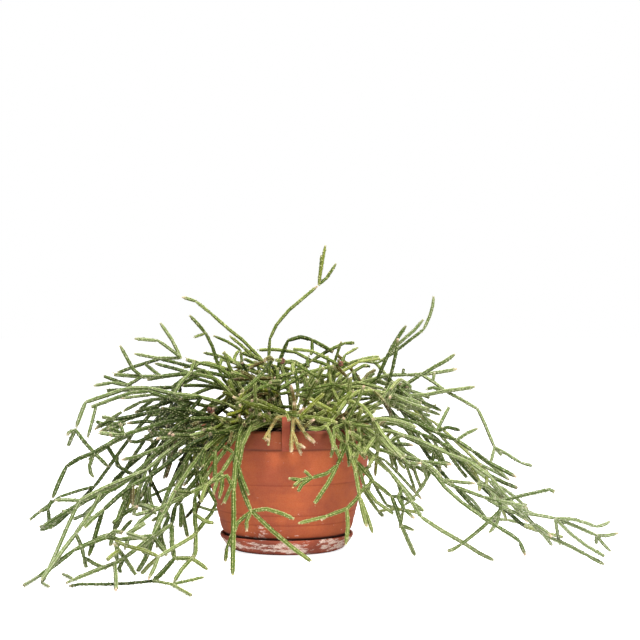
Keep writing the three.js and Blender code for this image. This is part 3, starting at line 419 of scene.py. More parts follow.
def applyTree(piece, tree, values):
    # runs a node tree on a piece, and gives the result back as a plain mesh of its own
    dressing = piece.modifiers.new("dressing", "NODES")
    dressing.node_group = tree
    for item in tree.interface.items_tree:
        if item.in_out == "INPUT" and item.name in values:
            dressing[item.identifier] = values[item.name]
    seen = piece.evaluated_get(bpy.context.evaluated_depsgraph_get())
    mesh = bpy.data.meshes.new_from_object(seen)
    piece.modifiers.remove(dressing)
    old = piece.data
    piece.data = mesh
    bpy.data.meshes.remove(old)
    mesh.name = piece.name


def scatterCrumbs(edge, material):
    dice = np.random.default_rng(soil["seed"])
    spots = []
    for _ in range(soil["crumbs"]):
        radius = (edge - soil["crumbMargin"]) * math.sqrt(dice.random())
        turn = dice.random() * 2 * math.pi
        spots.append(Vector((radius * math.cos(turn), radius * math.sin(turn), soilTop(radius) + 0.1)) * mm)
    mesh = bpy.data.meshes.new("soil_crumbs")
    mesh.from_pydata(spots, [], [])
    crumbs = addObject("soil_crumbs", mesh)
    applyTree(crumbs, crumbTree(material), {"Seed": soil["seed"]})
    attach(crumbs, "root")


def makeSoil():
    material = soilMaterial()
    edge = rimInner(soil["edge"]) - soil["gap"]
    outline = [[0, soil["below"][0][1]]] + soil["below"] + [[edge - 0.8, soil["shoulder"]]]
    for k in range(soil["rings"], -1, -1):
        radius = edge * k / soil["rings"]
        outline.append([radius, soilTop(radius)])
    piece = turnedPiece("soil_mound", outline, soil["sides"])
    for vert in piece.data.vertices:
        radius = math.hypot(vert.co.x, vert.co.y) / mm
        if vert.co.z > (soil["edge"] - 1) * mm and radius < edge - 1:
            lump = noise.fractal(vert.co * soil["lumpScale"], 1.0, 2.2, 4)
            vert.co.z += (lump - 0.45) * soil["roughness"] * mm
    finishPiece(piece, material, ["soil"])
    scatterCrumbs(edge, material)


makeSoil()
print("soil made")


# Clip: a clay-coloured strip hooked over the rim, its tab standing up.
clip = {
    "width": 7, "thick": 1.8, "top": 119.5, "foot": 91, "inner": 102.5, "centre": 1, "gap": 0.3, "slack": 0.5,
    "light": shown(182, 90, 62), "dark": shown(150, 72, 50),
    # painted shade: the clip is darker all over and most at its top, under the foliage
    "stainAndShade": [(91, 0.1), (119, 0.2)], "bloom": [(0, 0.05)], "bloomSize": 200,
}


def makeClip():
    front = clip["gap"]
    face = front + clip["thick"]
    back = rimInner(pot["rimHeight"]) - pot["rimRadius"] - clip["gap"] - clip["slack"]
    shelf = pot["rimHeight"] + clip["gap"]
    over = shelf + clip["thick"]
    section = [[front, clip["foot"]], [face, clip["foot"]], [face, clip["top"]], [front, clip["top"]],
               [front, over], [back - clip["thick"], over], [back - clip["thick"], clip["inner"]],
               [back, clip["inner"]], [back, shelf], [front, shelf]]
    shape = bmesh.new()
    sides = []
    for across in (clip["centre"] - clip["width"] / 2, clip["centre"] + clip["width"] / 2):
        spots = [Vector((across, -pot["rimRadius"] - out, up)) * mm for out, up in section]
        sides.append([shape.verts.new(spot) for spot in spots])
    shape.faces.new(sides[0])
    shape.faces.new(sides[1][::-1])
    for k in range(len(section)):
        n = (k + 1) % len(section)
        shape.faces.new([sides[0][k], sides[1][k], sides[1][n], sides[0][n]])
    piece = shapePiece("rim_clip_strip", shape)
    softEdge = piece.modifiers.new("softEdge", "BEVEL")
    softEdge.width = 0.4 * mm
    softEdge.segments = 3
    finishPiece(piece, clayMaterial("clipClay", clip), ["rim_clip"])


makeClip()
print("clip made")


# Stems. The front view: a stem's points are read as [across, up] on the plane through the pot's
# axis, as the eye sees them, with the depth behind that plane as a third number. onTable marks
# a point that lies on the table. Each spray is a list of stems: the first rises from the soil,
# and each later one starts at the nearest joint of those before it.
onTable = "table"
frontSprays = {
    "tallUpright": [
        [[-14, 110, 8], [-15, 138], [-15.5, 166], [-14.5, 182], [-9, 194], [2, 207], [15, 218], [28, 229, 2]],
        [[28, 229], [29.5, 243], [31, 259, 8]],
        [[28, 229], [30.5, 245], [34, 265, -4]],
        [[28, 229], [35, 235], [40, 243.5, 10]],
        [[35, 235], [44, 249, 2]],
        [[-15, 138], [-22, 150], [-36, 156], [-48, 162, 20]],
    ],
    "arcOver": [
        [[-6, 110, 22], [-10, 140], [-6, 163], [1, 180], [12, 183.5], [22, 181], [33, 175], [44, 168, 26]],
        [[22, 181], [22, 170], [18, 165, 20]],
        [[-10, 140], [4, 152], [22, 163], [35, 171], [50, 178], [63, 178.5, 34]],
        [[22, 163], [8, 170], [-10, 172.5], [-28, 172, 38]],
    ],
    "leftHigh": [
        [[-8, 110, 14], [-12, 144], [-20, 162], [-38, 180.5], [-50, 190], [-66, 204], [-79, 214.5],
         [-93, 219, -4]],
        [[-20, 162], [-30, 168], [-42, 178.5], [-51, 185.5, -4]],
        [[-12, 144], [-24, 152], [-34, 158], [-46, 161], [-58, 167], [-74, 170, 40]],
    ],
    "leftThin": [
        [[-26, 110, 26], [-45, 134], [-57, 148], [-61, 160], [-65, 174], [-71, 186.5], [-78, 195],
         [-86, 203.5, 16]],
        [[-71, 186.5], [-84, 182, 10]],
        [[-45, 134], [-40, 152], [-41, 171], [-52, 178.5], [-66, 184.5, 44]],
    ],
    "leftFork": [
        [[-24, 108, 4], [-34, 130], [-48, 148], [-60, 157], [-76, 160.5], [-92, 165, -8]],
        [[-92, 165], [-100, 181], [-111, 197, -2]],
        [[-92, 165], [-100, 171.5], [-112, 180], [-134, 182, -22]],
        [[-92, 165], [-112, 165], [-134, 169, 8]],
        [[-76, 160.5], [-84, 154, -12]],
        [[-34, 130], [-42, 142], [-50, 158], [-55, 172.5, -22]],
    ],
    "leftFlat": [
        [[-30, 108, -6], [-44, 130], [-62, 148], [-83, 153], [-110, 150], [-126, 149.5], [-155, 151.5, -16]],
        [[-83, 153], [-97, 157], [-116, 162, 14]],
        [[-126, 149.5], [-134, 156], [-146, 178, -24]],
        [[-110, 150], [-117, 155.5], [-125, 162, 10]],
        [[-126, 149.5], [-139, 142], [-152, 144], [-170, 141, -30]],
    ],
    "leftHub": [
        [[-34, 106, 14], [-54, 138], [-72, 155], [-86, 150], [-100, 140, 4], [-116, 139], [-132, 138],
         [-161, 137, -6]],
        [[-100, 140], [-95, 131], [-91, 118, -6]],
        [[-132, 138], [-141, 143], [-163, 151, -18]],
        [[-86, 150], [-93, 141], [-92, 130, 20]],
        [[-54, 138], [-68, 141], [-82, 141.5], [-94, 141, 30]],
    ],
    "leftArm": [
        [[-28, 105, -24], [-50, 124], [-74, 131], [-98, 134], [-120, 139], [-140, 138.5], [-158, 132.5],
         [-175, 126.5, -46], [-184, 103, -56]],
        [[-184, 103], [-190, 100], [-192, 94, -62]],
        [[-184, 103], [-188, 95], [-192, 85, -50]],
        [[-184, 103], [-176, 92], [-166, 81], [-154, 69, -74]],
        [[-98, 134], [-92, 144], [-84, 152], [-79, 165, -14]],
    ],
    "leftTwin": [
        [[-32, 104, -14], [-56, 120], [-82, 126], [-102, 130], [-120, 136], [-135, 135], [-150, 130],
         [-166, 124, -58], [-173, 121, -64]],
        [[-166, 124], [-169, 112], [-174, 94, -70]],
        [[-102, 130], [-116, 129], [-128, 126.5], [-144, 118, -36]],
        [[-116, 129], [-123, 124], [-131, 119, -24]],
    ],
    "leftSweep": [
        [[-38, 103, -32], [-62, 114], [-84, 119.5], [-104, 121], [-122, 117], [-136, 114], [-150, 111.5],
         [-167, 104, -76]],
        [[-122, 117], [-138, 112], [-151, 107], [-165, 100, -62]],
        [[-84, 119.5], [-97, 114], [-110, 109], [-124, 110], [-141, 108, -40]],
    ],
    "leftLong": [
        [[-34, 102, -46], [-58, 112], [-84, 112], [-106, 109], [-126, 103], [-142, 98], [-157, 89.5],
         [-168, 82.5, -112], [-180, 78], [-192, 70.5, -120], [-199, 56], [-205, 41, -122]],
        [[-168, 82.5], [-172, 71], [-171, 65], [-167, 59.5, -104]],
        [[-205, 41], [-208, 34], [-218, 30.5, -128]],
        [[-208, 34], [-207, 23], [-205, 12, -116]],
        [[-157, 89.5], [-151, 80], [-144, 68, -96]],
        [[-142, 98], [-146, 111, -90]],
    ],
    "leftDown": [
        [[-38, 100, -58], [-60, 105], [-84, 98], [-106, 82], [-122, 68], [-140, 60.5], [-160, 52],
         [-180, 41, -150], [-190, 20], [-199, -1], [-206, -17], [-213, -31, onTable], [-206, -35, onTable]],
        [[-180, 41], [-193, 41.5], [-204, 41, -160]],
        [[-122, 68], [-128, 52], [-131, 38], [-135, 24, -120]],
    ],
    "leftSpear": [
        [[-42, 101, -40], [-64, 106], [-88, 101], [-108, 88], [-124, 72], [-138, 59], [-150, 51], [-163, 46],
         [-178, 39.5], [-197, 28], [-216, 16, -150]],
        [[-178, 39.5], [-189, 31.5], [-200, 31.5, -140]],
        [[-163, 46], [-168, 35], [-176, 23], [-184, 11.5], [-195, -3], [-206, -19], [-215, -32, onTable]],
        [[-184, 11.5], [-179, 0], [-177, -9], [-174, -22, onTable]],
        [[-177, -9], [-166, -15.5], [-154, -20, -170]],
        [[-108, 88], [-118, 84], [-131, 79], [-146, 76, -80]],
    ],
    "leftKnee": [
        [[-40, 100, -64], [-62, 101], [-84, 90], [-104, 74], [-120, 62], [-134, 55], [-146, 46],
         [-160, 33, -160], [-165, 18], [-169, 4], [-174, -10, -168]],
        [[-134, 55], [-141, 41], [-147, 27], [-152, 12, -130]],
        [[-147, 27], [-138, 32], [-128, 37, -124]],
        [[-141, 41], [-148, 24], [-155, 20, -146]],
    ],
    "tableArc": [
        [[-36, 99, -68], [-56, 99], [-72, 84], [-86, 66], [-98, 48], [-108, 28], [-117, 10.5, -166],
         [-131, 8.5], [-146, 7], [-157, 8.5], [-170, 4], [-186, -3], [-203, -16], [-217, -26, onTable],
         [-230, -34, onTable]],
        [[-117, 10.5], [-130, 0], [-142, -8.5], [-150, -13.5], [-167, -20], [-186, -28, onTable],
         [-194, -31.5, onTable]],
        [[-186, -28], [-191, -25], [-197, -22.5, onTable]],
        [[-150, -13.5], [-149, -26], [-149, -38, onTable]],
        [[-142, -8.5], [-146, -17], [-144, -25, onTable]],
        [[-157, 8.5], [-150, 14], [-139, 12, -176]],
    ],
    "tableRun": [
        [[-32, 98, -72], [-48, 99], [-62, 82], [-76, 62], [-88, 47], [-97, 35], [-100, 20], [-100, 3],
         [-98, -10, -165], [-107, -21], [-116, -29.5, onTable], [-135, -31.5, onTable],
         [-160, -32.5, onTable], [-181, -32.5, onTable], [-191, -34.5, onTable]],
        [[-98, -10], [-83, -10], [-68, -20.5, -134]],
        [[-116, -29.5], [-100, -32.5, onTable], [-82, -42.5, onTable]],
        [[-100, -32.5], [-86, -29.5, onTable], [-71, -26, onTable]],
        [[-83, -10], [-92, -20], [-99, -31, onTable]],
    ],
    "leftDrop": [
        [[-26, 98, -72], [-44, 99], [-58, 82], [-70, 64], [-80, 46], [-81, 30], [-79.5, 12], [-80, -4, -140],
         [-84, -13, -146]],
        [[-79.5, 12], [-88, 6.5], [-100, -0.5], [-113, -8.5, -186], [-118, -20], [-124, -30.5, onTable]],
        [[-113, -8.5], [-122, -16], [-130, -24.5, onTable]],
        [[-113, -8.5], [-126, -3.5], [-140, -0.5], [-156, 5.5, -172]],
        [[-81, 30], [-71, 23], [-60, 21.5, -126]],
    ],
    "leftZig": [
        [[-40, 101, -50], [-60, 103], [-78, 90], [-90, 72], [-100, 56], [-107, 38], [-112, 22], [-115.5, 9],
         [-119, -4], [-124, -15], [-130, -25, onTable]],
        [[-130, -25], [-137, -14], [-144, -4], [-150, 5, -178]],
        [[-107, 38], [-103, 26], [-109, 12], [-114, -2, -132]],
        [[-90, 72], [-93, 60], [-95, 48], [-92, 38, -90]],
    ],
    "leftCross": [
        [[-20, 98, -74], [-36, 98, -84], [-46, 80], [-57, 64], [-70, 53], [-84, 47], [-101, 38.5, -136],
         [-115, 31.5], [-128, 22], [-138, 8], [-142, -4, -164]],
        [[-70, 53], [-62, 38], [-66, 29], [-71, 23, -104]],
        [[-46, 80], [-54, 86], [-66, 84], [-72, 74, -80]],
    ],
    "leftVeil": [
        [[-46, 102, -6], [-70, 113], [-89, 104], [-104, 90], [-118, 77], [-130, 62], [-138, 46], [-142, 32],
         [-150, 14, -60]],
        [[-104, 90], [-110, 78], [-117, 66], [-120, 52, -30]],
        [[-130, 62], [-139, 66], [-148, 72], [-147, 83, -44]],
        [[-89, 104], [-101, 103], [-116, 98], [-130, 92], [-141, 93, -10]],
        [[-89, 104], [-84, 94], [-85, 80], [-90, 66], [-97, 52, -20]],
    ],
    "leftBehind": [
        [[-46, 102, 16], [-70, 114], [-92, 107], [-110, 96], [-124, 82], [-136, 72], [-149, 60],
         [-155, 50, -10]],
        [[-110, 96], [-118, 84], [-126, 68], [-130, 52, 20]],
        [[-92, 107], [-104, 98], [-114, 84], [-120, 72], [-118, 58, 34]],
        [[-92, 107], [-86, 98], [-87, 84], [-92, 68], [-97, 50, 40]],
        [[-86, 84], [-80, 72], [-78, 56], [-76, 40, 30]],
    ],
    "rightHigh": [
        [[22, 110, 10], [34, 138], [46, 156], [62, 163.5], [79, 161], [92, 169], [105, 179], [119, 190],
         [124.5, 202], [127, 211], [128, 221, -2]],
        [[62, 163.5], [71, 165.5], [82, 167, 16]],
        [[46, 156], [51, 168], [63, 175, 40]],
        [[34, 138], [38, 152], [43, 166], [48, 181, -8]],
    ],
    "rightSplay": [
        [[32, 110, -4], [50, 128], [68, 140], [79, 148], [84, 159], [89, 170], [97, 183], [105, 195, -12]],
        [[89, 170], [100, 180], [111, 189.5], [120, 200, 2]],
        [[50, 128], [72, 130], [82, 132], [88, 142], [92, 156], [95, 170], [97, 184, -34]],
    ],
    "rightBar": [
        [[32, 110, 20], [48, 136], [62, 143], [74, 146.5], [87, 150], [105, 150.5], [122, 151.5],
         [136, 153.5], [150, 156, 30]],
        [[105, 150.5], [101, 152], [103, 160, 26]],
        [[87, 150], [80, 158], [74, 164, 36]],
        [[62, 143], [58, 153], [66, 158], [72, 158, 40]],
        [[87, 150], [94, 142], [104, 134], [117, 130], [123, 122], [132, 125, 20]],
    ],
    "rightArm": [
        [[40, 106, 0], [62, 122], [82, 131], [98, 139], [108, 145], [117, 151, -14], [128, 157.5], [138, 163],
         [148, 170, -22]],
        [[117, 151], [127, 145], [138, 137], [152, 129.5], [166, 121, -40], [172, 109], [176.5, 98],
         [181, 88, -50], [192, 81.5], [204, 74], [218, 70, -64]],
        [[181, 88], [185, 83], [189, 79, -38]],
        [[181, 88], [179, 79], [176, 70, -56]],
        [[127, 145], [129, 155, -20]],
        [[138, 137], [127, 140], [118, 137.5, -24]],
    ],
    "rightPale": [
        [[44, 104, -12], [66, 118], [86, 128], [104, 132], [122, 133], [138, 136], [154, 138],
         [166, 140, -34]],
        [[86, 128], [100, 126], [114, 121], [124, 119], [135, 115, -6]],
        [[104, 132], [108, 140], [100, 146], [92, 144, -24]],
    ],
    "rightSweep": [
        [[42, 100, -32], [66, 112], [90, 115], [112, 110], [130, 101], [148, 94], [162, 84.5],
         [176, 74.5, -88], [190, 67], [202, 60.5, -96]],
        [[130, 101], [134, 109], [138, 117], [143, 126, -46]],
        [[148, 94], [157, 100], [168, 105, -66]],
        [[162, 84.5], [170, 78], [181, 70], [194, 58.5, -76]],
        [[130, 101], [140, 105.5], [154, 102, -50]],
    ],
    "rightFan": [
        [[46, 100, -20], [70, 108], [96, 106], [118, 98], [136, 90], [152, 80.5], [166, 71], [178, 62],
         [190, 56], [205, 50, -92]],
        [[136, 90], [143, 79], [151, 68], [160, 57, -58]],
        [[152, 80.5], [162, 68], [168, 58], [168, 45, -84]],
        [[166, 71], [175, 65], [174, 55], [180, 48, -96]],
    ],
    "rightLong": [
        [[40, 98, -42], [64, 104], [92, 101], [116, 93], [140, 82], [160, 74], [178, 61, -104], [190, 46],
         [206, 30, -112], [214, 21], [224, 11], [246, 1.5], [262, -7, -106], [279, -16, onTable]],
        [[224, 11], [232, 1, -90]],
        [[206, 30], [220, 28], [234, 25.5, -122], [250, 24.5], [262, 21], [270, 18], [277, 20],
         [284, 24, -118]],
        [[234, 25.5], [252, 18.5], [270, 10.5, -110], [280, 10.5], [291, 13, -102]],
        [[270, 10.5], [270, 1, -98]],
        [[270, 10.5], [277, 2], [284, -5, -104]],
        [[234, 25.5], [248, 11.5], [262, 1], [281, -10, -112]],
        [[234, 25.5], [236, 12], [239, 0, -96]],
    ],
    "rightReach": [
        [[42, 97, -52], [66, 98], [90, 91], [112, 79], [126, 67], [140, 56], [156, 50], [172, 44],
         [186, 40.5, -120], [204, 45], [222, 49], [229, 50.5], [238, 46, -128]],
        [[186, 40.5], [186, 32.5], [170, 17], [152, 2.5], [145, -2], [136, -4, -104]],
        [[186, 32.5], [183, 21], [175, 11, -112]],
        [[172, 44], [184, 37], [198, 31], [212, 22.5, -106]],
        [[126, 67], [134, 59.5], [150, 57.5], [166, 56, -96]],
    ],
    "rightBow": [
        [[38, 96, -58], [58, 95], [80, 85], [100, 79], [117, 75], [127, 66], [138, 52], [152, 39.5],
         [168, 28], [182, 19, -128], [196, 10.5], [203, 5], [209, -9, -122]],
        [[117, 75], [122, 60], [113, 46], [101, 35, -84]],
        [[100, 79], [106, 72.5], [119, 73, -100]],
    ],
    "rightDiagonal": [
        [[34, 95, -66], [54, 91], [72, 82], [90, 66], [101, 52], [109, 40], [117, 27, -112], [134, 15.5],
         [154, 4], [168, -5], [182, -12, onTable]],
        [[109, 40], [116, 35], [122, 29, -108]],
        [[101, 52], [97, 44], [103, 33], [113, 24, -110]],
        [[90, 66], [97, 56], [100, 44], [101, 31], [98, 15, -90]],
    ],
    "rightDrop": [
        [[30, 95, -72], [48, 90], [61, 73], [75, 57], [91, 44], [96, 32], [100, 19, -98], [107, 3],
         [113, -10, onTable]],
        [[91, 44], [100, 43], [110, 39, -96]],
        [[100, 19], [112, 14, -90]],
        [[61, 73], [68, 52], [78, 38.5], [89, 31], [96, 26, -92]],
        [[75, 57], [66, 49], [58, 38, -90]],
    ],
    "rightCurtain": [
        [[46, 98, 0], [70, 112], [92, 101], [112, 92], [128, 83], [126, 70], [121, 57], [112, 45, -30]],
        [[128, 83], [133, 77], [134, 64, -16]],
        [[92, 99], [100, 88], [104, 72], [109, 58], [113, 46, -10]],
        [[100, 88], [108, 78], [113, 62], [118, 49, 4]],
        [[70, 112], [86, 92], [92, 80], [97, 64, 10]],
        [[86, 92], [90, 80], [93, 67, 22]],
        [[92, 101], [80, 88], [77, 60, 16]],
    ],
    "frontHang": [
        [[-24, 99, -58], [-36, 106, -76], [-41, 97, -90], [-44, 76], [-46, 50], [-46, 24], [-46.5, 0],
         [-47, -27, onTable]],
        [[-44, 76], [-39, 60], [-32, 43, -116]],
        [[-46, 50], [-52, 62], [-60, 58], [-68, 57, -118]],
    ],
    "frontCross": [
        [[-14, 99, -60], [-30, 105, -80], [-39, 86, -96], [-43, 66], [-38, 47], [-31, 31, -116], [-12, 13],
         [6, -2], [24, -15, onTable]],
        [[-31, 31], [-18, 33], [-4, 29], [8, 23.5, -126]],
        [[-31, 31], [-35, 22], [-35, 11, -122]],
        [[-31, 31], [-43, 21], [-52, 0], [-54, -17, onTable]],
    ],
    "frontFleck": [
        [[38, 100, -52], [52, 105, -74], [53, 90, -92], [44, 70], [36, 55], [28, 43], [22, 34, -114]],
        [[44, 70], [35, 63.5], [22, 60], [12, 58], [0, 60, -112]],
        [[22, 60], [17, 65], [12, 68, -106]],
        [[12, 58], [4, 51, -118]],
        [[22, 60], [13, 54], [8, 45, -120]],
        [[52, 105], [41, 101], [41, 88], [38, 74, -94]],
    ],
    "frontPale": [
        [[46, 101, -38], [60, 106, -62], [63, 90, -82], [58, 70], [61, 55], [63, 44, -98], [66, 30],
         [70, 15, -92]],
        [[63, 44], [70, 26], [75, 10, -86]],
        [[63, 44], [52, 33], [34, 26.5], [8, 20, -114]],
        [[52, 33], [53, 18], [51, 0, -102]],
        [[34, 26.5], [28, 22, -110]],
        [[63, 90], [70, 80], [72, 68, -70]],
    ],
    "rimTips": [
        [[4, 102, -50], [6, 112, -70], [5, 100, -86], [4, 89], [4, 78, -94]],
        [[5, 100], [9, 89], [14, 77, -98]],
        [[9, 89], [17, 85, -102]],
        [[6, 112], [15, 99, -86], [27, 87, -96]],
        [[15, 99], [21, 91, -100]],
        [[6, 112], [-8, 112, -76], [-15, 101, -86], [-16, 86, -92]],
        [[-15, 101], [-19, 94], [-12, 91, -96]],
    ],
    "frontRim": [
        [[-32, 107, -38], [-42, 127, -46], [-38, 119], [-30, 112.5], [-20, 110.5], [-12, 107, -74]],
        [[-38, 119], [-44, 109], [-54, 108, -66]],
        [[-42, 127], [-29, 125, -60], [-14, 120.5, -80], [0, 117, -88], [12, 114], [24, 113], [36, 112, -80]],
        [[-42, 127], [-36, 136], [-28, 143], [-26, 152, -40]],
    ],
    "frontLean": [
        [[44, 103, -30], [48, 122, -44], [53, 129, -62], [44, 117], [35, 106, -86], [26, 103.5],
         [15, 105, -92]],
        [[53, 129], [66, 124, -70], [76, 112, -84], [79, 98, -88], [80, 84, -84]],
        [[48, 122], [40, 140], [38, 152], [36, 170, -34]],
        [[53, 129], [62, 136], [76, 137], [90, 134, -56]],
    ],
}

stems = {
    "radius": 1.6, "forkShare": 0.9, "bow": 0.5, "tableLift": 0.45, "gap": 0.4, "stepLength": 28,
    "rootDepth": 14, "rootRise": 3, "rimRise": 1.6, "rimNear": 4, "rimInset": 3,
    "spotCount": 66, "spotReach": 47, "bendRounds": 400, "easeUntil": 0.6, "ease": 0.2, "fade": 0.995,
    "push": 1.4, "pairRounds": 15, "nearReach": 9, "leastGive": 0.05, "crossing": 0.05, "clipRods": 1.9,
    "drawSeed": 20417,
}
rimLevel = pot["rimHeight"] + stems["radius"] + stems["rimRise"]
lowest = stems["radius"] + stems["tableLift"]


class StemDraw:
    # a seeded draw, alike each time
    state = stems["drawSeed"]

    def __call__(self, low, high):
        self.state = self.state * 16807 % 2147483647
        return low + (high - low) * self.state / 2147483647


draw = StemDraw()
joints, fixed, sprayOf, runs = [], [], [], []  # runs: spray, path of joints, radius
rootSpots = []
for i in range(stems["spotCount"]):
    out = stems["spotReach"] * math.sqrt((i + 0.5) / stems["spotCount"])
    turn = i * math.pi * (3 - math.sqrt(5))
    rootSpots.append((out * math.cos(turn), out * math.sin(turn)))


def placePoint(point):
    across, up, depth = point
    share = (eye["distance"] + depth) / eye["distance"]
    x, z = eye["across"] + (across - eye["across"]) * share, eye["height"] + (up - eye["height"]) * share
    return [x, depth, z]


def frontSpot(point):
    # where a point shows in the front view
    x, y, z = point
    share = eye["distance"] / (eye["distance"] + y)
    return (eye["across"] + (x - eye["across"]) * share, eye["height"] + (z - eye["height"]) * share)


def tableDepth(up):
    return eye["distance"] * (eye["height"] - lowest) / (eye["height"] - up) - eye["distance"]


def withDepths(points, firstDepth):
    # fills in the depths that a stem's points leave out, evenly between the stated ones
    depths = [None if len(p) < 3 else tableDepth(p[1]) if p[2] == onTable else p[2] for p in points]
    if depths[0] is None:
        depths[0] = firstDepth
    known = 0
    for i in range(1, len(points)):
        if depths[i] is None:
            continue
        for k in range(known + 1, i):
            depths[k] = depths[known] + (depths[i] - depths[known]) * (k - known) / (i - known)
        known = i
    return [[p[0], p[1], depths[known] if d is None else d] for p, d in zip(points, depths)]


def addJoint(point, isFixed, spray):
    joints.append(list(point))
    fixed.append(isFixed)
    sprayOf.append(spray)
    return len(joints) - 1


def stretches(chain):
    # each stretch of a chain of points, between the point before it and the point after it
    chain = [np.array(p, dtype=float) for p in chain]
    for i in range(1, len(chain)):
        yield chain[max(0, i - 2)], chain[i - 1], chain[i], chain[min(i + 1, len(chain) - 1)]


def curvePoint(before, a, b, after, t, bow):
    # a point of a stretch from a to b, bowed towards the way that its neighbours run
    ahead, back = b - before - 2 * (b - a), after - a - 2 * (b - a)
    return a + (b - a) * t + bow * t * (1 - t) * ((1 - t) * ahead * 0.5 - t * back * 0.5)


def runThrough(first, points, spray):
    # a stem's joints, with extra ones on long stretches, on a curve through them
    path = [first]
    for before, a, b, after in stretches([joints[first]] + points):
        parts = math.ceil(math.dist(a, b) / stems["stepLength"])
        for k in range(1, parts + 1):
            point = b if k == parts else curvePoint(before, a, b, after, k / parts, stems["bow"])
            path.append(addJoint(point, False, spray))
    return path


def overRim(spot, target):
    # a point over the rim, for a stem that leaves the pot low
    if math.hypot(target[0], target[1]) < pot["rimRadius"] or target[2] > rimLevel + stems["rimNear"]:
        return []
    share, x, y = 0.0, *spot
    while math.hypot(x, y) < pot["rimRadius"] - stems["rimInset"]:
        share += 0.02
        x, y = (spot[n] + (target[n] - spot[n]) * share for n in (0, 1))
    return [[x, y, rimLevel]]


def nearestJoint(point, spray, seen=list):
    # the free joint of a spray that lies, or shows, nearest to a point
    own = [i for i in range(len(joints)) if sprayOf[i] == spray and not fixed[i]]
    return min(own, key=lambda i: math.dist(seen(joints[i]), point))


def addSpray(name, paths, inFrontView):
    for order, points in enumerate(paths):
        if order == 0:
            seen = [placePoint(p) for p in withDepths(points, 0)] if inFrontView else points
            wish, rest = seen[0], seen[1:]
            spot = min(rootSpots, key=lambda s: math.hypot(s[0] - wish[0], s[1] - wish[1]))
            rootSpots.remove(spot)
            top = soilTop(math.hypot(*spot))
            foot = addJoint([*spot, top - stems["rootDepth"]], True, name)
            collar = addJoint([*spot, top + stems["rootRise"]], True, name)
            path = [foot] + runThrough(collar, overRim(spot, rest[0]) + rest, name)
            runs.append([name, path, stems["radius"]])
            continue
        if inFrontView:
            start = nearestJoint(points[0][:2], name, frontSpot)
            known = [[*points[0][:2], joints[start][1]]] + points[1:]
            rest = [placePoint(p) for p in withDepths(known, 0)][1:]
        else:
            start = nearestJoint(points[0], name)
            rest = points[1:]
        runs.append([name, runThrough(start, rest, name), stems["radius"] * stems["forkShare"]])


# What the front view hides follows a rule: sprays all round the back, and some in the crown.
hidden = {
    "backCount": 9, "backFrom": 14, "backSpan": 152, "backTurn": 5, "backReach": (190, 285),
    "backCrest": (128, 158), "backSway": 0.05,
    "backTwigs": [(2, 80), (3, 90), (3, 64), (4, 84), (5, 70), (6, 52)],
    "crownCount": 5, "crownTurn": 0.4, "crownOut": (6, 26), "crownFoot": 108, "crownLean": 1.2,
    "crownRun": (6, 15), "crownRise": (7, 15), "crownTwigs": (2, 3, 3, 4), "crownLength": (34, 60),
    "twigBend": 0.35, "twigFall": (0.15, 0.6),
}


def twig(base, heading, lift, length):
    x, y, z = base
    half = length / 2
    bend = heading + draw(-hidden["twigBend"], hidden["twigBend"])
    knee = [x + half * math.cos(heading), y + half * math.sin(heading), max(lowest, z + half * lift)]
    fall = lift - draw(*hidden["twigFall"])
    tip = [knee[0] + half * math.cos(bend), knee[1] + half * math.sin(bend)]
    tip.append(max(lowest, knee[2] + half * fall))
    return [[x, y, z], knee, tip]


def backSpray(k):
    # the half that the front view hides: sprays that arch over the rim in turn round the pot
    degrees = hidden["backFrom"] + hidden["backSpan"] * (k + 0.5) / hidden["backCount"]
    heading = (degrees + draw(-hidden["backTurn"], hidden["backTurn"])) * math.pi / 180
    reach = draw(*hidden["backReach"])
    crest = draw(*hidden["backCrest"])
    stretch = [(24, 106), (48, crest - 6), (74, crest), (reach * 0.42, crest - 14),
               (reach * 0.6, crest * 0.62), (reach * 0.76, crest * 0.3), (reach * 0.9, 10), (reach, lowest)]
    main = []
    for out, up in stretch:
        heading += draw(-hidden["backSway"], hidden["backSway"])
        main.append([out * math.cos(heading), out * math.sin(heading), up])
    spray = [main]
    for joint, length in hidden["backTwigs"]:
        side = draw(0.35, 0.95) * (1 if len(spray) % 2 else -1)
        lift = draw(-0.75, 0.5 if joint < 4 else 0.05)
        spray.append(twig(main[joint], heading + side, lift, length * draw(0.8, 1.15)))
    return spray


def crownSpray(k):
    # short forking stems that fill the middle of the crown
    turn = k * 2 * math.pi / hidden["crownCount"] + draw(-hidden["crownTurn"], hidden["crownTurn"])
    out = draw(*hidden["crownOut"])
    main = [[out * math.cos(turn), out * math.sin(turn), hidden["crownFoot"]]]
    lean = turn + draw(-hidden["crownLean"], hidden["crownLean"])
    for _ in range(4):
        x, y, z = main[-1]
        run = draw(*hidden["crownRun"])
        main.append([x + run * math.cos(lean), y + run * math.sin(lean), z + draw(*hidden["crownRise"])])
    spray = [main]
    for joint in hidden["crownTwigs"]:
        heading = lean + draw(0.7, 2.4) * (1 if len(spray) % 2 else -1)
        lift = draw(-0.2, 0.6)
        spray.append(twig(main[joint], heading, lift, draw(*hidden["crownLength"])))
    return spray


for name, paths in frontSprays.items():
    addSpray(name, paths, True)
for k in range(hidden["backCount"]):
    addSpray("back_%d" % (k + 1), backSpray(k), False)
for k in range(hidden["crownCount"]):
    addSpray("crown_%d" % (k + 1), crownSpray(k), False)


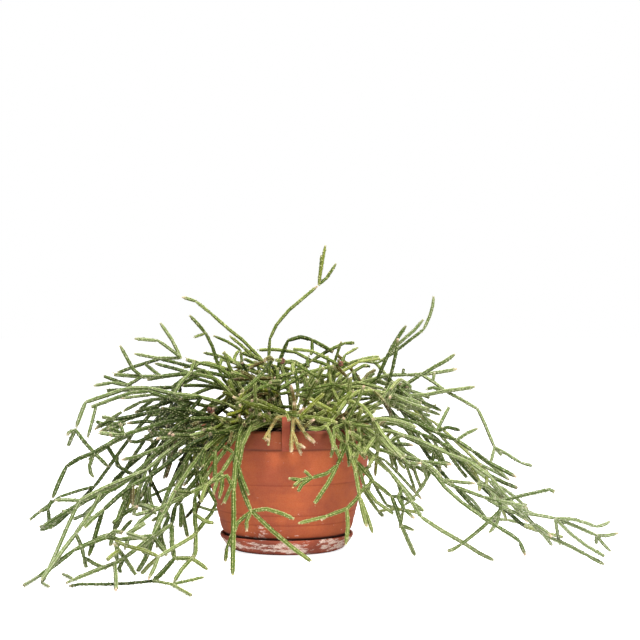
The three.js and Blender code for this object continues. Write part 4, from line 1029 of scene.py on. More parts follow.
def clearOutline():
    # what the stems keep clear of: pot, soil and saucer as [radius, height]
    rim, top, edge = pot["rimRadius"], pot["rimHeight"], soil["edge"]
    line = [[0, 0], [saucer["foot"], 0], [saucer["radius"], saucer["height"]]] + pot["outside"][3:]
    line += [[pot["neck"], pot["lip"]], [rim, pot["lip"]], [rim, top], [rimInner(top), top]]
    line.append([rimInner(edge), edge])
    for share in (0.75, 0.5, 0.25, 0):
        radius = share * rimInner(edge)
        line.append([radius, soilTop(radius)])
    return np.array(line, dtype=float)


def bendClear():
    # bends the sprays clear of each other, of the pot and of the table, all stretches at once
    ends, radii, owner = [], [], []
    for spray, path, radius in runs:
        for a, b in zip(path, path[1:]):
            ends.append((a, b))
            radii.append(radius)
            owner.append(spray)
    for offset in (-stems["clipRods"], 0, stems["clipRods"]):
        foot = [clip["centre"] + offset, -pot["rimRadius"] - clip["thick"] / 2 - clip["gap"], clip["foot"]]
        a = addJoint(foot, True, "clip")
        b = addJoint([foot[0], foot[1], clip["top"]], True, "clip")
        ends.append((a, b))
        radii.append(clip["width"] / 2 - stems["clipRods"])
        owner.append("clip")
    ends, radii = np.array(ends), np.array(radii)
    names = {name: i for i, name in enumerate(dict.fromkeys(owner))}
    owner = np.array([names[name] for name in owner])
    start = np.array(joints, dtype=float)
    loose = ~np.array(fixed)
    drift = np.zeros_like(start)
    links = np.concatenate([ends, ends[:, ::-1]])
    linkCount = np.bincount(links[:, 0], minlength=len(start))
    outline = clearOutline()
    shares = np.array([0, 0.25, 0.5, 0.75, 1.0])
    moving = ~(np.array(fixed)[ends].all(axis=1))

    def dots(p, q):
        return (p * q).sum(axis=-1)

    def nearPairs(at):
        middle = (at[ends[:, 0]] + at[ends[:, 1]]) / 2
        half = np.linalg.norm(at[ends[:, 1]] - at[ends[:, 0]], axis=1) / 2
        m, n = np.triu_indices(len(ends), 1)
        keep = owner[m] != owner[n]
        m, n = m[keep], n[keep]
        away = np.linalg.norm(middle[m] - middle[n], axis=1)
        keep = away < half[m] + half[n] + stems["nearReach"]
        return m[keep], n[keep]

    def push(rows, share, way, size, total, count):
        for end, weight in ((0, 1 - share), (1, share)):
            joint = ends[rows, end]
            keep = loose[joint] & (weight >= 1e-6)
            np.add.at(total, joint[keep], way[keep] * (size * weight)[keep, None])
            np.add.at(count, joint[keep], 1)

    def give(rows, share):
        a, b = ends[rows, 0], ends[rows, 1]
        return np.where(loose[a], (1 - share) ** 2, 0) + np.where(loose[b], share ** 2, 0)

    def pushApart(at, m, n, total, count):
        p1, q1, p2, q2 = at[ends[m, 0]], at[ends[m, 1]], at[ends[n, 0]], at[ends[n, 1]]
        d1, d2, r = q1 - p1, q2 - p2, p1 - p2
        a, e, f, c, b = dots(d1, d1), dots(d2, d2), dots(d2, r), dots(d1, r), dots(d1, d2)
        spread = a * e - b * b
        s = np.where(spread > 1e-9, np.clip((b * f - c * e) / np.maximum(spread, 1e-9), 0, 1), 0.5)
        t = (b * s + f) / e
        over = (t < 0) | (t > 1)
        t = np.clip(t, 0, 1)
        s = np.where(over, np.clip((b * t - c) / a, 0, 1), s)
        between = p2 + d2 * t[:, None] - p1 - d1 * s[:, None]
        away = np.linalg.norm(between, axis=1)
        short = radii[m] + radii[n] + stems["gap"] - away
        ease = give(m, s) + give(n, t)
        keep = (short > 0) & (ease >= 1e-6)
        way = between / np.where(away > 0, away, 1)[:, None]
        flat = away < stems["crossing"]
        if flat.any():
            side = np.cross(d1, d2)
            side /= np.maximum(np.linalg.norm(side, axis=1), 1e-12)[:, None]
            side *= np.where(side[:, 2] < 0, -1, 1)[:, None]
            way = np.where(flat[:, None], side, way)
        m, n, s, t, way = m[keep], n[keep], s[keep], t[keep], way[keep]
        size = short[keep] / ease[keep]
        push(m, s, way, -size, total, count)
        push(n, t, way, size, total, count)

    def clearOfPot(at, total, count):
        rows = np.repeat(np.flatnonzero(moving), len(shares))
        share = np.tile(shares, int(moving.sum()))
        ease = give(rows, share)
        keep = ease >= stems["leastGive"]
        rows, share, ease = rows[keep], share[keep], ease[keep]
        p, q = at[ends[rows, 0]], at[ends[rows, 1]]
        point = p + (q - p) * share[:, None]
        radius = np.hypot(point[:, 0], point[:, 1])
        z = point[:, 2]
        least = np.full(len(rows), np.inf)
        nearest = np.zeros((len(rows), 2))
        inside = np.zeros(len(rows), dtype=bool)
        for (r1, z1), (r2, z2) in zip(outline, np.roll(outline, -1, axis=0)):
            if z1 != z2:
                crosses = (z1 > z) != (z2 > z)
                inside ^= crosses & (radius < r1 + (r2 - r1) * (z - z1) / (z2 - z1))
            if r1 == 0 and r2 == 0:
                continue
            dr, dz = r2 - r1, z2 - z1
            t = np.clip(((radius - r1) * dr + (z - z1) * dz) / (dr * dr + dz * dz), 0, 1)
            away = np.hypot(radius - r1 - dr * t, z - z1 - dz * t)
            closer = away < least
            least = np.where(closer, away, least)
            nearest[closer] = np.stack([r1 + dr * t, z1 + dz * t], axis=1)[closer]
        wanted = radii[rows] + stems["gap"]
        short = np.where(inside, wanted + least, wanted - least)
        side = np.where(inside, -1, 1) / least
        outR, outZ = (radius - nearest[:, 0]) * side, (z - nearest[:, 1]) * side
        way = np.stack([outR * point[:, 0] / radius, outR * point[:, 1] / radius, outZ], axis=1)
        keep = short > 0
        push(rows[keep], share[keep], way[keep], (short / ease)[keep], total, count)
        low = radii[rows] + stems["tableLift"] - z
        keep = low > 0
        up = np.tile([0.0, 0.0, 1.0], (int(keep.sum()), 1))
        push(rows[keep], share[keep], up, (low / ease)[keep], total, count)

    m = n = None
    for turn in range(stems["bendRounds"]):
        at = start + drift
        if turn % stems["pairRounds"] == 0:
            m, n = nearPairs(at)
        total = np.zeros_like(start)
        count = np.zeros(len(start))
        pushApart(at, m, n, total, count)
        clearOfPot(at, total, count)
        share = np.where(count > 0, stems["push"] / np.maximum(count, 1), 0)
        drift = drift + total * share[:, None]
        if turn > stems["bendRounds"] * stems["easeUntil"]:
            continue
        mean = np.zeros_like(start)
        np.add.at(mean, links[:, 0], drift[links[:, 1]])
        mean /= np.maximum(linkCount, 1)[:, None]
        eased = (drift + (mean - drift) * stems["ease"]) * stems["fade"]
        drift = np.where(loose[:, None], eased, drift)
    return start + drift


bent = bendClear()


# Side twigs that fill the thick parts of the plant. Each zone is an outline in the front view,
# and a twig is kept only where it runs clear of every stem.
twigs = {
    "radius": 1.5, "clear": 0.25, "boxMargin": 4, "floorGap": 3, "potGap": 0.6, "soilReach": 68,
    "freeFrom": 4.5, "ahead": 0.7, "bend": 0.09, "sag": 0.06, "sampling": 3, "fineStep": 9,
    "brown": (0.6, 1.0), "inherits": 0.3, "seed": 11, "tries": 30,
    "zones": {
        # a zone's tone: the darkest ones, for the crown's left, the left mass and the left rim, paint the
        # shade inside the plant
        "crownLeft": {
            "outline": [(-60, 110), (-58, 154), (-34, 168), (0, 162), (0, 108)],
            "count": 84, "length": (20, 50), "wood": 0.18,
            "out": 0.25, "lift": 0.2, "spread": 0.5, "tone": -0.5},
        "crownRight": {
            "outline": [(0, 162), (40, 172), (84, 160), (96, 124), (60, 106), (0, 108)],
            "count": 96, "length": (16, 44), "wood": 0.16,
            "out": 0.25, "lift": 0.2, "spread": 0.5, "tone": 0.0},
        "leftMass": {
            "outline": [(-66, 138), (-112, 134), (-138, 114), (-116, 78), (-106, 52), (-84, 42), (-62, 100)],
            "count": 112, "length": (26, 62), "wood": 0.05,
            "out": 0.5, "lift": -0.3, "spread": 0.3, "tone": -0.37},
        "leftLow": {
            "outline": [(-148, 62), (-112, 64), (-102, 28), (-142, 26)],
            "count": 36, "length": (20, 44), "wood": 0.03,
            "out": 0.4, "lift": -0.5, "spread": 0.3, "tone": -0.05},
        "leftEdge": {
            "outline": [(-140, 120), (-188, 120), (-190, 98), (-144, 98)],
            "count": 20, "length": (24, 48), "wood": 0, "out": 0.7, "lift": -0.3, "spread": 0.2, "tone": 0.1},
        "leftFoot": {
            "outline": [(-119, 38), (-160, 40), (-190, 0), (-150, -22), (-104, -20), (-90, 30)],
            "count": 13, "length": (16, 40), "wood": 0.03,
            "out": 0.3, "lift": -0.3, "spread": 0.35, "tone": 0.15},
        "leftSkirt": {
            "outline": [(-98, 44), (-56, 44), (-60, 4), (-92, 4)],
            "count": 9, "length": (20, 42), "wood": 0, "out": 0.3, "lift": -0.4, "spread": 0.3, "tone": 0},
        "leftRim": {
            "outline": [(-92, 124), (-50, 126), (-42, 104), (-52, 84), (-88, 84)],
            "count": 60, "length": (14, 34), "wood": 0.15, "front": 6,
            "out": 0.5, "lift": -0.5, "spread": 0.4, "tone": -0.7},
        "frontLip": {
            "outline": [(-46, 130), (44, 130), (46, 104), (-44, 106)],
            "count": 34, "length": (12, 26), "wood": 0.25, "front": -26,
            "out": 0.4, "lift": 0, "spread": 0.6, "tone": -0.2},
        "rightMass": {
            "outline": [(66, 148), (104, 146), (138, 122), (138, 100), (126, 84), (150, 72), (140, 58),
                        (104, 68), (76, 90)],
            "count": 98, "length": (24, 56), "wood": 0.05,
            "out": 0.6, "lift": -0.3, "spread": 0.25, "tone": -0.03},
        "rightTail": {
            "outline": [(160, 70), (204, 48), (248, 16), (236, 4), (176, 28)],
            "count": 12, "length": (20, 50), "wood": 0,
            "out": 0.6, "lift": -0.35, "spread": 0.2, "tone": 0.2},
        "leftBib": {
            "outline": [(-80, 112), (-40, 112), (-40, 60), (-48, 30), (-78, 34)],
            "count": 34, "length": (14, 38), "wood": 0.05, "front": -46,
            "out": 0.2, "lift": -0.8, "spread": 0.35, "tone": 0.1},
        "backBib": {
            "outline": [(-62, 104), (62, 104), (54, 14), (-54, 14)],
            "count": 60, "length": (24, 56), "wood": 0.05, "behind": 60,
            "out": 0.5, "lift": -0.4, "spread": 0.35, "tone": 0},
        "rightBib": {
            "outline": [(30, 114), (92, 118), (84, 80), (60, 60), (40, 80)],
            "count": 68, "length": (12, 34), "wood": 0.08, "front": -40,
            "out": 0.25, "lift": -0.6, "spread": 0.45, "tone": 0.2},
        "rightGap": {
            "outline": [(86, 100), (112, 100), (114, 76), (92, 76)],
            "count": 16, "length": (20, 40), "wood": 0.05,
            "out": 0.5, "lift": -0.3, "spread": 0.4, "tone": 0.02},
        "rightNotch": {
            "outline": [(74, 134), (98, 134), (100, 108), (78, 108)],
            "count": 16, "length": (16, 36), "wood": 0.1,
            "out": 0.4, "lift": -0.1, "spread": 0.4, "tone": 0.05},
        "leftGap": {
            "outline": [(-170, 116), (-138, 116), (-138, 94), (-170, 94)],
            "count": 9, "length": (18, 36), "wood": 0, "out": 0.5, "lift": -0.2, "spread": 0.4, "tone": 0.1},
        "crownTop": {
            "outline": [(-66, 172), (-20, 176), (-20, 156), (-66, 156)],
            "count": 9, "length": (18, 36), "wood": 0, "out": 0.2, "lift": 0.4, "spread": 0.4, "tone": 0.1},
    },
}
runLooks = [{} for _ in runs]
mainRuns = len(runs)


def isInside(spot, outline):
    inside = False
    for (x1, y1), (x2, y2) in zip(outline, outline[1:] + outline[:1]):
        if (y1 > spot[1]) != (y2 > spot[1]) and spot[0] < x1 + (x2 - x1) * (spot[1] - y1) / (y2 - y1):
            inside = not inside
    return inside


def stemPoints():
    # points along the middle of every stem, to tell how far off the stems are
    samples = []
    for _, path, _ in runs:
        for a, b in zip(path, path[1:]):
            parts = max(1, round(math.dist(bent[a], bent[b]) / twigs["sampling"]))
            samples += [bent[a] + (bent[b] - bent[a]) * k / parts for k in range(parts + 1)]
    tree = kdtree.KDTree(len(samples))
    for i, sample in enumerate(samples):
        tree.insert(sample, i)
    tree.balance()
    return tree


def zoneStarts(zone):
    # the joints that show inside a zone, each as a stem and a place along it
    return [(number, i) for number, (_, path, _) in enumerate(runs[:mainRuns]) for i in range(2, len(path))
            if isInside(frontSpot(bent[path[i]]), zone["outline"])
            and zone.get("behind", -math.inf) < bent[path[i]][1] < zone.get("front", math.inf)]


def newTwig(dice, zone, joint, before):
    # a twig of three lengths from a joint, and finer points along it
    base = bent[joint]
    ahead = (base - bent[before]) / max(np.linalg.norm(base - bent[before]), 1e-6)
    outward = np.array([base[0], base[1], 0]) / math.hypot(base[0], base[1])
    way = twigs["ahead"] * ahead + zone["spread"] * dice.normal(0, 1, 3) + zone["out"] * outward
    way[2] += zone["lift"]
    way /= np.linalg.norm(way)
    length = dice.uniform(*zone["length"])
    bend = dice.normal(0, twigs["bend"], 3) - np.array([0, 0, twigs["sag"]])
    line = [base]
    for _ in range(3):
        line.append(line[-1] + way * length / 3)
        way = way + bend
        way /= np.linalg.norm(way)
    parts = max(2, round(length / twigs["fineStep"]))
    fine = [np.linspace(p, q, parts, endpoint=False) for p, q in zip(line, line[1:])] + [line[-1:]]
    fine = np.concatenate(fine)
    return line, fine[np.linalg.norm(fine - base, axis=1) > twigs["freeFrom"]]


def clearOfSolids(points, wanted):
    # clear of the pot, the soil and the saucer, whose walls are taken as a stack of cones
    inner = clearOutline()[::-1][:6]
    radius = np.hypot(points[:, 0], points[:, 1])
    top = np.interp(radius, inner[:, 0], inner[:, 1])
    heights = [0, saucer["height"], pot["lip"], pot["lip"] + 0.1, pot["rimHeight"]]
    radii = [saucer["radius"], saucer["radius"], pot["neck"], pot["rimRadius"], pot["rimRadius"]]
    wall = np.interp(points[:, 2], heights, radii)
    over = points[:, 2] > np.where(radius < twigs["soilReach"], top, pot["rimHeight"]) + wanted
    return bool(((radius > wall + wanted) | over).all())


def isClear(zone, tip, fine, others, made):
    # inside the solids' box and its zone, and clear of the pot, the stems and the other twigs
    wanted = stems["radius"] + twigs["radius"] + twigs["clear"]
    low = np.array(cadBox[0]) / mm + twigs["boxMargin"]
    high = np.array(cadBox[1]) / mm - twigs["boxMargin"]
    if (fine < low).any() or (fine > high).any() or fine[:, 2].min() < twigs["floorGap"]:
        return False
    if not isInside(frontSpot(tip), zone["outline"]):
        return False
    if not clearOfSolids(fine, twigs["radius"] + twigs["potGap"]):
        return False
    if any(away < wanted for p in fine for _, _, away in others.find_range(p, wanted)):
        return False
    return not (len(made) and (np.linalg.norm(made[None] - fine[:, None], axis=2) < wanted).any())


def thickenPlant():
    # adds the twigs to the runs and gives all joints, with the twigs' own after the others
    dice = np.random.default_rng(twigs["seed"])
    others = stemPoints()
    made, newJoints = np.zeros((0, 3)), []
    for zone in twigs["zones"].values():
        starts = zoneStarts(zone)
        for _ in range(zone["count"]):
            for _ in range(twigs["tries"]):
                number, i = starts[dice.integers(len(starts))]
                path = runs[number][1]
                line, fine = newTwig(dice, zone, path[i], path[i - 1])
                if not isClear(zone, line[-1], fine, others, made):
                    continue
                made = np.concatenate([made, fine])
                first = len(bent) + len(newJoints)
                newJoints.extend(line[1:])
                runs.append([runs[number][0], [path[i], first, first + 1, first + 2], twigs["radius"]])
                brown = dice.random() < zone["wood"]
                wood = dice.uniform(*twigs["brown"]) if brown else 0.0
                runLooks.append({"tone": zone["tone"], "inherits": twigs["inherits"], "wood": wood})
                break
    return np.concatenate([bent, np.array(newJoints)])


bent = thickenPlant()
print("twigs added:", len(runs) - mainRuns)


# How a stem looks along its length: jointed lengths with narrow necks, each set of ribs turned
# against the last, young ends paler, and old feet woody.
skin = {
    "sampling": 2.6, "bow": 0.2, "size": (1.0, 1.12), "neckShare": 0.74, "neckReach": 2.2, "neckFrom": 16,
    "neckBeforeEnd": 12, "longest": 62, "kink": 13, "swell": 0.05, "ribs": 5, "valley": 0.6, "ribTurn": 0.63,
    "ribTurnRate": 2.0, "firstTurn": (0, 1.2), "woodReach": 46, "woodMost": 0.8, "floorGap": 0.75,
    "tipCut": 2.2, "tipEnd": 0.42, "tipTaper": 3.6, "tipReach": 3.4, "dryTipReach": 6, "paleTips": 0.3,
    "tipPaleness": (0.95, 0.2), "tone": 0.52, "sprayTones": 0.08, "stemTones": 0.17, "partTones": 0.09,
    # the next three slopes paint shade: stems are darker to the left, further back and nearer the axis
    "sideShade": 0.0009, "depthShade": 0.001, "innerShade": (0.0014, 110, -0.12, 0.2),
    "upTone": (0.003, 115, 0, 0.18), "alongTone": 0.10, "lastTone": 0.12, "yellowShare": 0.07, "yellow": 0.35,
    "padSpacing": 4.3, "padSize": 1.1, "padSlide": 2.2, "padSink": 0.97, "padFleck": 0.8, "padSeed": 20,
    "seed": 31,
    "looks": {
        # the dark tones of leftHub, leftTwin, leftSweep, leftVeil and leftBehind paint the shade over the
        # left mass
        "tallUpright": {"tone": -0.05, "size": -0.08}, "arcOver": {"tone": 0.02},
        "leftHigh": {"tone": 0.08, "size": -0.08}, "leftThin": {"tone": 0.2, "size": -0.12},
        "leftHub": {"tone": -0.25, "size": 0.08}, "leftZig": {"size": 0.12}, "leftSpear": {"size": 0.1},
        "leftKnee": {"size": 0.1}, "tableRun": {"size": 0.1}, "tableArc": {"size": 0.1},
        "leftTwin": {"tone": -0.12}, "leftSweep": {"tone": -0.15}, "leftVeil": {"tone": -0.1, "size": 0.08},
        "leftBehind": {"tone": -0.35}, "leftLong": {"tone": 0.08, "size": 0.08}, "leftDrop": {"tone": 0.15},
        "leftArm": {"tone": 0.1, "size": 0.12}, "frontHang": {"tone": 0.06}, "frontCross": {"tone": 0.04},
        "frontFleck": {"tone": 0.02}, "frontPale": {"tone": 0.5}, "rimTips": {"tone": 0.35, "dry": 0.62},
        "frontLean": {"tone": 0.25, "yellow": 0.12}, "frontRim": {"yellow": 0.6},
        "rightCurtain": {"tone": -0.1}, "rightPale": {"tone": 0.08}, "rightArm": {"tone": 0.08},
        "rightHigh": {"tone": 0.12, "size": -0.18}, "rightSweep": {"tone": -0.04},
        "rightDrop": {"tone": 0.08},
    },
    "stemLooks": {("frontRim", 2): {"tone": 0.35, "yellow": -0.6, "size": 0.2},
                  ("frontCross", 0): {"size": 0.1}, ("frontHang", 0): {"size": 0.1}},
}
dice = np.random.default_rng(skin["seed"])


def smoothRun(path):
    # samples a stem's joints on an even curve; returns points, distances along, and joint distances
    points, lengths, knots = [bent[path[0]]], [0.0], [0.0]
    for before, a, b, after in stretches([bent[i] for i in path]):
        parts = max(2, math.ceil(math.dist(a, b) / skin["sampling"]))
        for k in range(1, parts + 1):
            points.append(curvePoint(before, a, b, after, k / parts, skin["bow"]))
            lengths.append(lengths[-1] + float(np.linalg.norm(points[-1] - points[-2])))
        knots.append(lengths[-1])
    return np.array(points), np.array(lengths), knots


forkJoints = {path[0] for _, path, _ in runs}


def neckPlaces(path, knots):
    # a stem has a neck where it forks, where it bends sharply and after a long plain length
    necks, last = [], 0.0
    for i in range(1, len(path) - 1):
        a, b, c = bent[path[i - 1]], bent[path[i]], bent[path[i + 1]]
        bend = math.degrees(Vector(b - a).angle(Vector(c - b), 0))
        if knots[i] - last < skin["neckFrom"] or knots[-1] - knots[i] < skin["neckBeforeEnd"]:
            continue
        if path[i] in forkJoints or bend > skin["kink"] or knots[i] - last > skin["longest"]:
            necks.append(knots[i])
            last = knots[i]
    return necks


def limitedTone(value, slope, start, least, most):
    return min(most, max(least, slope * (value - start)))


def stemLook(spray, order, path, radius, base, sprayLook, runLook):
    # what holds for one whole stem: where it runs, its necks, its size and its tone, which carries painted
    # shade
    points, lengths, knots = smoothRun(path)
    necks = neckPlaces(path, knots)
    size = radius * dice.uniform(*skin["size"])
    look = runLook | skin["stemLooks"].get((spray, order), {})
    size *= 1 + look.get("size", 0) + sprayLook.get("size", 0)
    x, y, z = points[len(points) // 2]
    tone = base + dice.normal(0, skin["stemTones"]) + look.get("tone", 0)
    # painted light and shade: darker further left, further back and nearer the axis, lighter to the right and
    # far out; higher stems are lighter too
    tone += skin["sideShade"] * x - skin["depthShade"] * y
    tone += limitedTone(math.hypot(x, y), *skin["innerShade"]) + limitedTone(z, *skin["upTone"])
    turn = dice.uniform(*skin["firstTurn"])
    yellow = sprayLook.get("yellow", 0) * look.get("inherits", 1) + look.get("yellow", 0)
    yellow += skin["yellow"] if dice.random() < skin["yellowShare"] else 0.0
    dry = sprayLook.get("dry", 0)
    paleTip, plainTip = skin["tipPaleness"]
    tip = paleTip if dice.random() < skin["paleTips"] + dry else plainTip
    toneSteps = [dice.normal(0, skin["partTones"]) for _ in range(len(necks) + 1)]
    return {
        "points": points, "lengths": lengths, "necks": necks, "isMain": order == 0, "size": size,
        "tone": tone, "toneSteps": toneSteps, "turn": turn, "yellow": yellow, "dry": dry, "tip": tip,
        "wood": look.get("wood", 0), "end": lengths[-1] - skin["tipCut"],
    }


def pointLook(stem, along, height):
    # what the node tree and the material read at one point of a stem
    necks, end = stem["necks"], stem["end"]
    left = end - along
    part = sum(along > neck for neck in necks)
    bounds = [0.0] + necks + [end]
    inPart = (along - bounds[part]) / max(bounds[part + 1] - bounds[part], 1e-6)
    thick = stem["size"]
    for neck in ([] if stem["isMain"] else [0.0]) + necks:
        thick *= 1 - (1 - skin["neckShare"]) * math.exp(-((along - neck) / skin["neckReach"]) ** 2)
    thick *= 1 + skin["swell"] * math.sin(math.pi * min(1, max(0, inPart)))
    thick *= min(1.0, skin["tipEnd"] + (1 - skin["tipEnd"]) * math.sqrt(max(0, left) / skin["tipTaper"]))
    turned = sum(1 / (1 + math.exp(-(along - neck) * skin["ribTurnRate"])) for neck in necks)
    tone = stem["tone"] + stem["toneSteps"][part] + skin["alongTone"] * (inPart - 0.5)
    wood = max(0.0, 1 - (along - stems["rootDepth"]) / skin["woodReach"]) if stem["isMain"] else 0.0
    return {
        "thickness": min(thick, height - skin["floorGap"]) * mm,
        "turn": stem["turn"] + skin["ribTurn"] * turned,
        "tone": tone + (skin["lastTone"] if part == len(necks) else 0),
        "tip": stem["tip"] * max(0.0, 1 - left / (skin["tipReach"] + skin["dryTipReach"] * stem["dry"])),
        "wood": max(wood * skin["woodMost"], stem["wood"]),
        "yellow": stem["yellow"],
        "dry": stem["dry"],
        "loose": min(1.0, left / skin["padSlide"], along / skin["padSlide"]),
    }


def sprayMesh(spray):
    # the polylines of one spray, with their looks as attributes of the points
    spots, edges, looks = [], [], []
    sprayLook = skin["looks"].get(spray, {})
    base = skin["tone"] + dice.normal(0, skin["sprayTones"]) + sprayLook.get("tone", 0)
    own = [(path, radius, look) for (name, path, radius), look in zip(runs, runLooks) if name == spray]
    for order, (path, radius, look) in enumerate(own):
        stem = stemLook(spray, order, path, radius, base, sprayLook, look)
        first = len(spots)
        for point, along in zip(stem["points"], stem["lengths"]):
            if along <= stem["end"]:
                spots.append(Vector(point) * mm)
                looks.append(pointLook(stem, along, point[2]))
        edges += [(k, k + 1) for k in range(first, len(spots) - 1)]
    mesh = bpy.data.meshes.new("stems_" + spray)
    mesh.from_pydata(spots, edges, [])
    for key in looks[0]:
        layer = mesh.attributes.new(key, "FLOAT", "POINT")
        layer.data.foreach_set("value", np.array([look[key] for look in looks], dtype=np.float32))
    return mesh


# The stems' colours, from the darkest, which paints the shade deep in the plant, to the palest, and those of
# what lies on them.
stemPaint = {
    "darkestShade": shown(20, 27, 8),
    "tones": [(-0.3, 0.12, shown(42, 56, 18)), (0.08, 0.62, shown(84, 104, 42)),
              (0.55, 1.2, shown(128, 143, 84))],
    "overlays": {"yellow": shown(158, 160, 50), "dry": shown(190, 142, 112), "wood": shown(98, 72, 50)},
    "crest": (shown(92, 106, 46), shown(192, 197, 156)), "furrowShade": shown(26, 38, 16),
    "pad": shown(214, 208, 176), "tip": shown(234, 200, 176), "slowTone": 0.7, "tipShare": 0.75,
    "centreShade": (50, 110, 0.9), "centreShadeTint": (0.97, 0.98, 0.62, 1),
    "grey": (140, 200), "outerLightTint": (1.0, 1.0, 1.16, 1), "specular": 0.12, "bump": 0.3, "bumpHeight": 0.0003,
}


def stemMaterial():
    material, tree, shader, where = newMaterial("stemSkin")

    def read(name):
        return addNode(tree, "ShaderNodeAttribute", attribute_name=name).outputs["Fac"]

    slow = noiseNode(tree, where, 70, 3)
    speck = noiseNode(tree, where, 620, 3, 0.6)
    dust = noiseNode(tree, where, 330, 4, 0.7)
    slowTone = mathNode(tree, "MULTIPLY", mathNode(tree, "SUBTRACT", slow, 0.5), stemPaint["slowTone"])
    tone = mathNode(tree, "ADD", read("tone"), slowTone)
    colour = stemPaint["darkestShade"]
    for low, high, tint in stemPaint["tones"]:
        colour = mixColour(tree, stepUp(tree, tone, low, high), colour, tint)
    for name, tint in stemPaint["overlays"].items():
        colour = mixColour(tree, read(name), colour, tint)
    # the rib's crest is lighter and greyer in patches: dust on it, and a painted highlight
    light = stepUp(tree, tone, 0.05, 1.0)
    pale = mixColour(tree, light, *stemPaint["crest"])
    dustAndSheen = mathNode(tree, "ADD", dust, mathNode(tree, "MULTIPLY", light, 0.06))
    crest = stepUp(tree, read("rib"), 0.45, 1.0)
    crest = mathNode(tree, "MULTIPLY", crest, stepUp(tree, dustAndSheen, 0.42, 0.6, 0.0, 0.8))
    colour = mixColour(tree, crest, colour, pale)
    # painted shade darkens the furrows between the ribs
    furrowShade = stepUp(tree, read("rib"), 0.0, 0.35, 0.6, 0.0)
    colour = mixColour(tree, furrowShade, colour, stemPaint["furrowShade"])
    # cream specks and the pads of the areoles
    specks = mathNode(tree, "MULTIPLY", stepUp(tree, speck, 0.57, 0.66), 0.6)
    colour = mixColour(tree, specks, colour, pale)
    pad = mixColour(tree, 0.4, pale, stemPaint["pad"])
    colour = mixColour(tree, read("fleck"), colour, pad)
    # painted shade: the stems over the pot, in the crown's shade, are deeper and yellower; the outermost ones
    # greyer, as painted light
    across = mathNode(tree, "ABSOLUTE", addNode(tree, "ShaderNodeSeparateXYZ", {0: where}).outputs[0])
    start, end, most = stemPaint["centreShade"]
    centreShade = stepUp(tree, across, start * mm, end * mm, most, 0.0)
    colour = mixColour(tree, centreShade, colour, stemPaint["centreShadeTint"], "MULTIPLY")
    start, end = stemPaint["grey"]
    grey = stepUp(tree, across, start * mm, end * mm)
    colour = mixColour(tree, grey, colour, stemPaint["outerLightTint"], "MULTIPLY")
    tip = mathNode(tree, "MULTIPLY", read("tip"), stemPaint["tipShare"])
    colour = mixColour(tree, tip, colour, stemPaint["tip"])
    tree.links.new(colour, shader.inputs["Base Color"])
    tree.links.new(stepUp(tree, dust, 0.3, 0.7, 0.42, 0.66), shader.inputs["Roughness"])
    shader.inputs["Specular IOR Level"].default_value = stemPaint["specular"]
    relief = mathNode(tree, "ADD", dust, mathNode(tree, "MULTIPLY", speck, 0.5))
    addBump(tree, shader, relief, stemPaint["bump"], stemPaint["bumpHeight"])
    return material


def readValue(tree, name):
    return addNode(tree, "GeometryNodeInputNamedAttribute", {"Name": name}, data_type="FLOAT").outputs[0]


def storeValue(tree, geometry, name, value):
    inputs = {"Geometry": geometry, "Name": name, "Value": value}
    kind = "GeometryNodeStoreNamedAttribute"
    return addNode(tree, kind, inputs, data_type="FLOAT", domain="POINT").outputs[0]


def joined(tree, parts):
    join = addNode(tree, "GeometryNodeJoinGeometry")
    for part in parts:
        tree.links.new(part, join.inputs[0])
    return join.outputs[0]


def padRow(tree, spots, pad, rib, given):
    # a pad at each areole along one rib, slid a little along the stem at random
    angle = 2 * math.pi * rib / skin["ribs"]
    inputs = {"Vector": spots["Normal"], "Axis": spots["Tangent"], "Angle": angle}
    outward = addNode(tree, "ShaderNodeVectorRotate", inputs, rotation_type="AXIS_ANGLE").outputs[0]
    # the directions are kept on the points, as they are read again once those have moved
    held = addNode(tree, "GeometryNodeCaptureAttribute", {"Geometry": spots["Points"]})
    held.capture_items.new("VECTOR", "Outward")
    held.capture_items.new("VECTOR", "Ahead")
    setInputs(tree, held, {1: outward, 2: spots["Tangent"]})
    slide = randomNode(tree, -skin["padSlide"] * mm, skin["padSlide"] * mm, rib)
    slide = mathNode(tree, "MULTIPLY", slide, readValue(tree, "loose"))
    lift = mathNode(tree, "MULTIPLY", readValue(tree, "thickness"), skin["padSink"])
    away = vectorNode(tree, "SCALE", {0: held.outputs[1], "Scale": lift})
    ahead = vectorNode(tree, "SCALE", {0: held.outputs[2], "Scale": slide})
    offset = vectorNode(tree, "ADD", {0: away, 1: ahead})
    shift = {"Geometry": held.outputs[0], "Offset": offset}
    moved = addNode(tree, "GeometryNodeSetPosition", shift).outputs[0]
    aim = addNode(tree, "FunctionNodeAlignRotationToVector", {"Vector": held.outputs[1]}, axis="Z").outputs[0]
    size = randomNode(tree, 0.55, 1.25, mathNode(tree, "ADD", given["Seed"], rib))
    size = mathNode(tree, "MULTIPLY", size, given["Areole Size"])
    placing = {"Points": moved, "Instance": pad, "Rotation": aim, "Scale": size}
    return addNode(tree, "GeometryNodeInstanceOnPoints", placing).outputs[0]


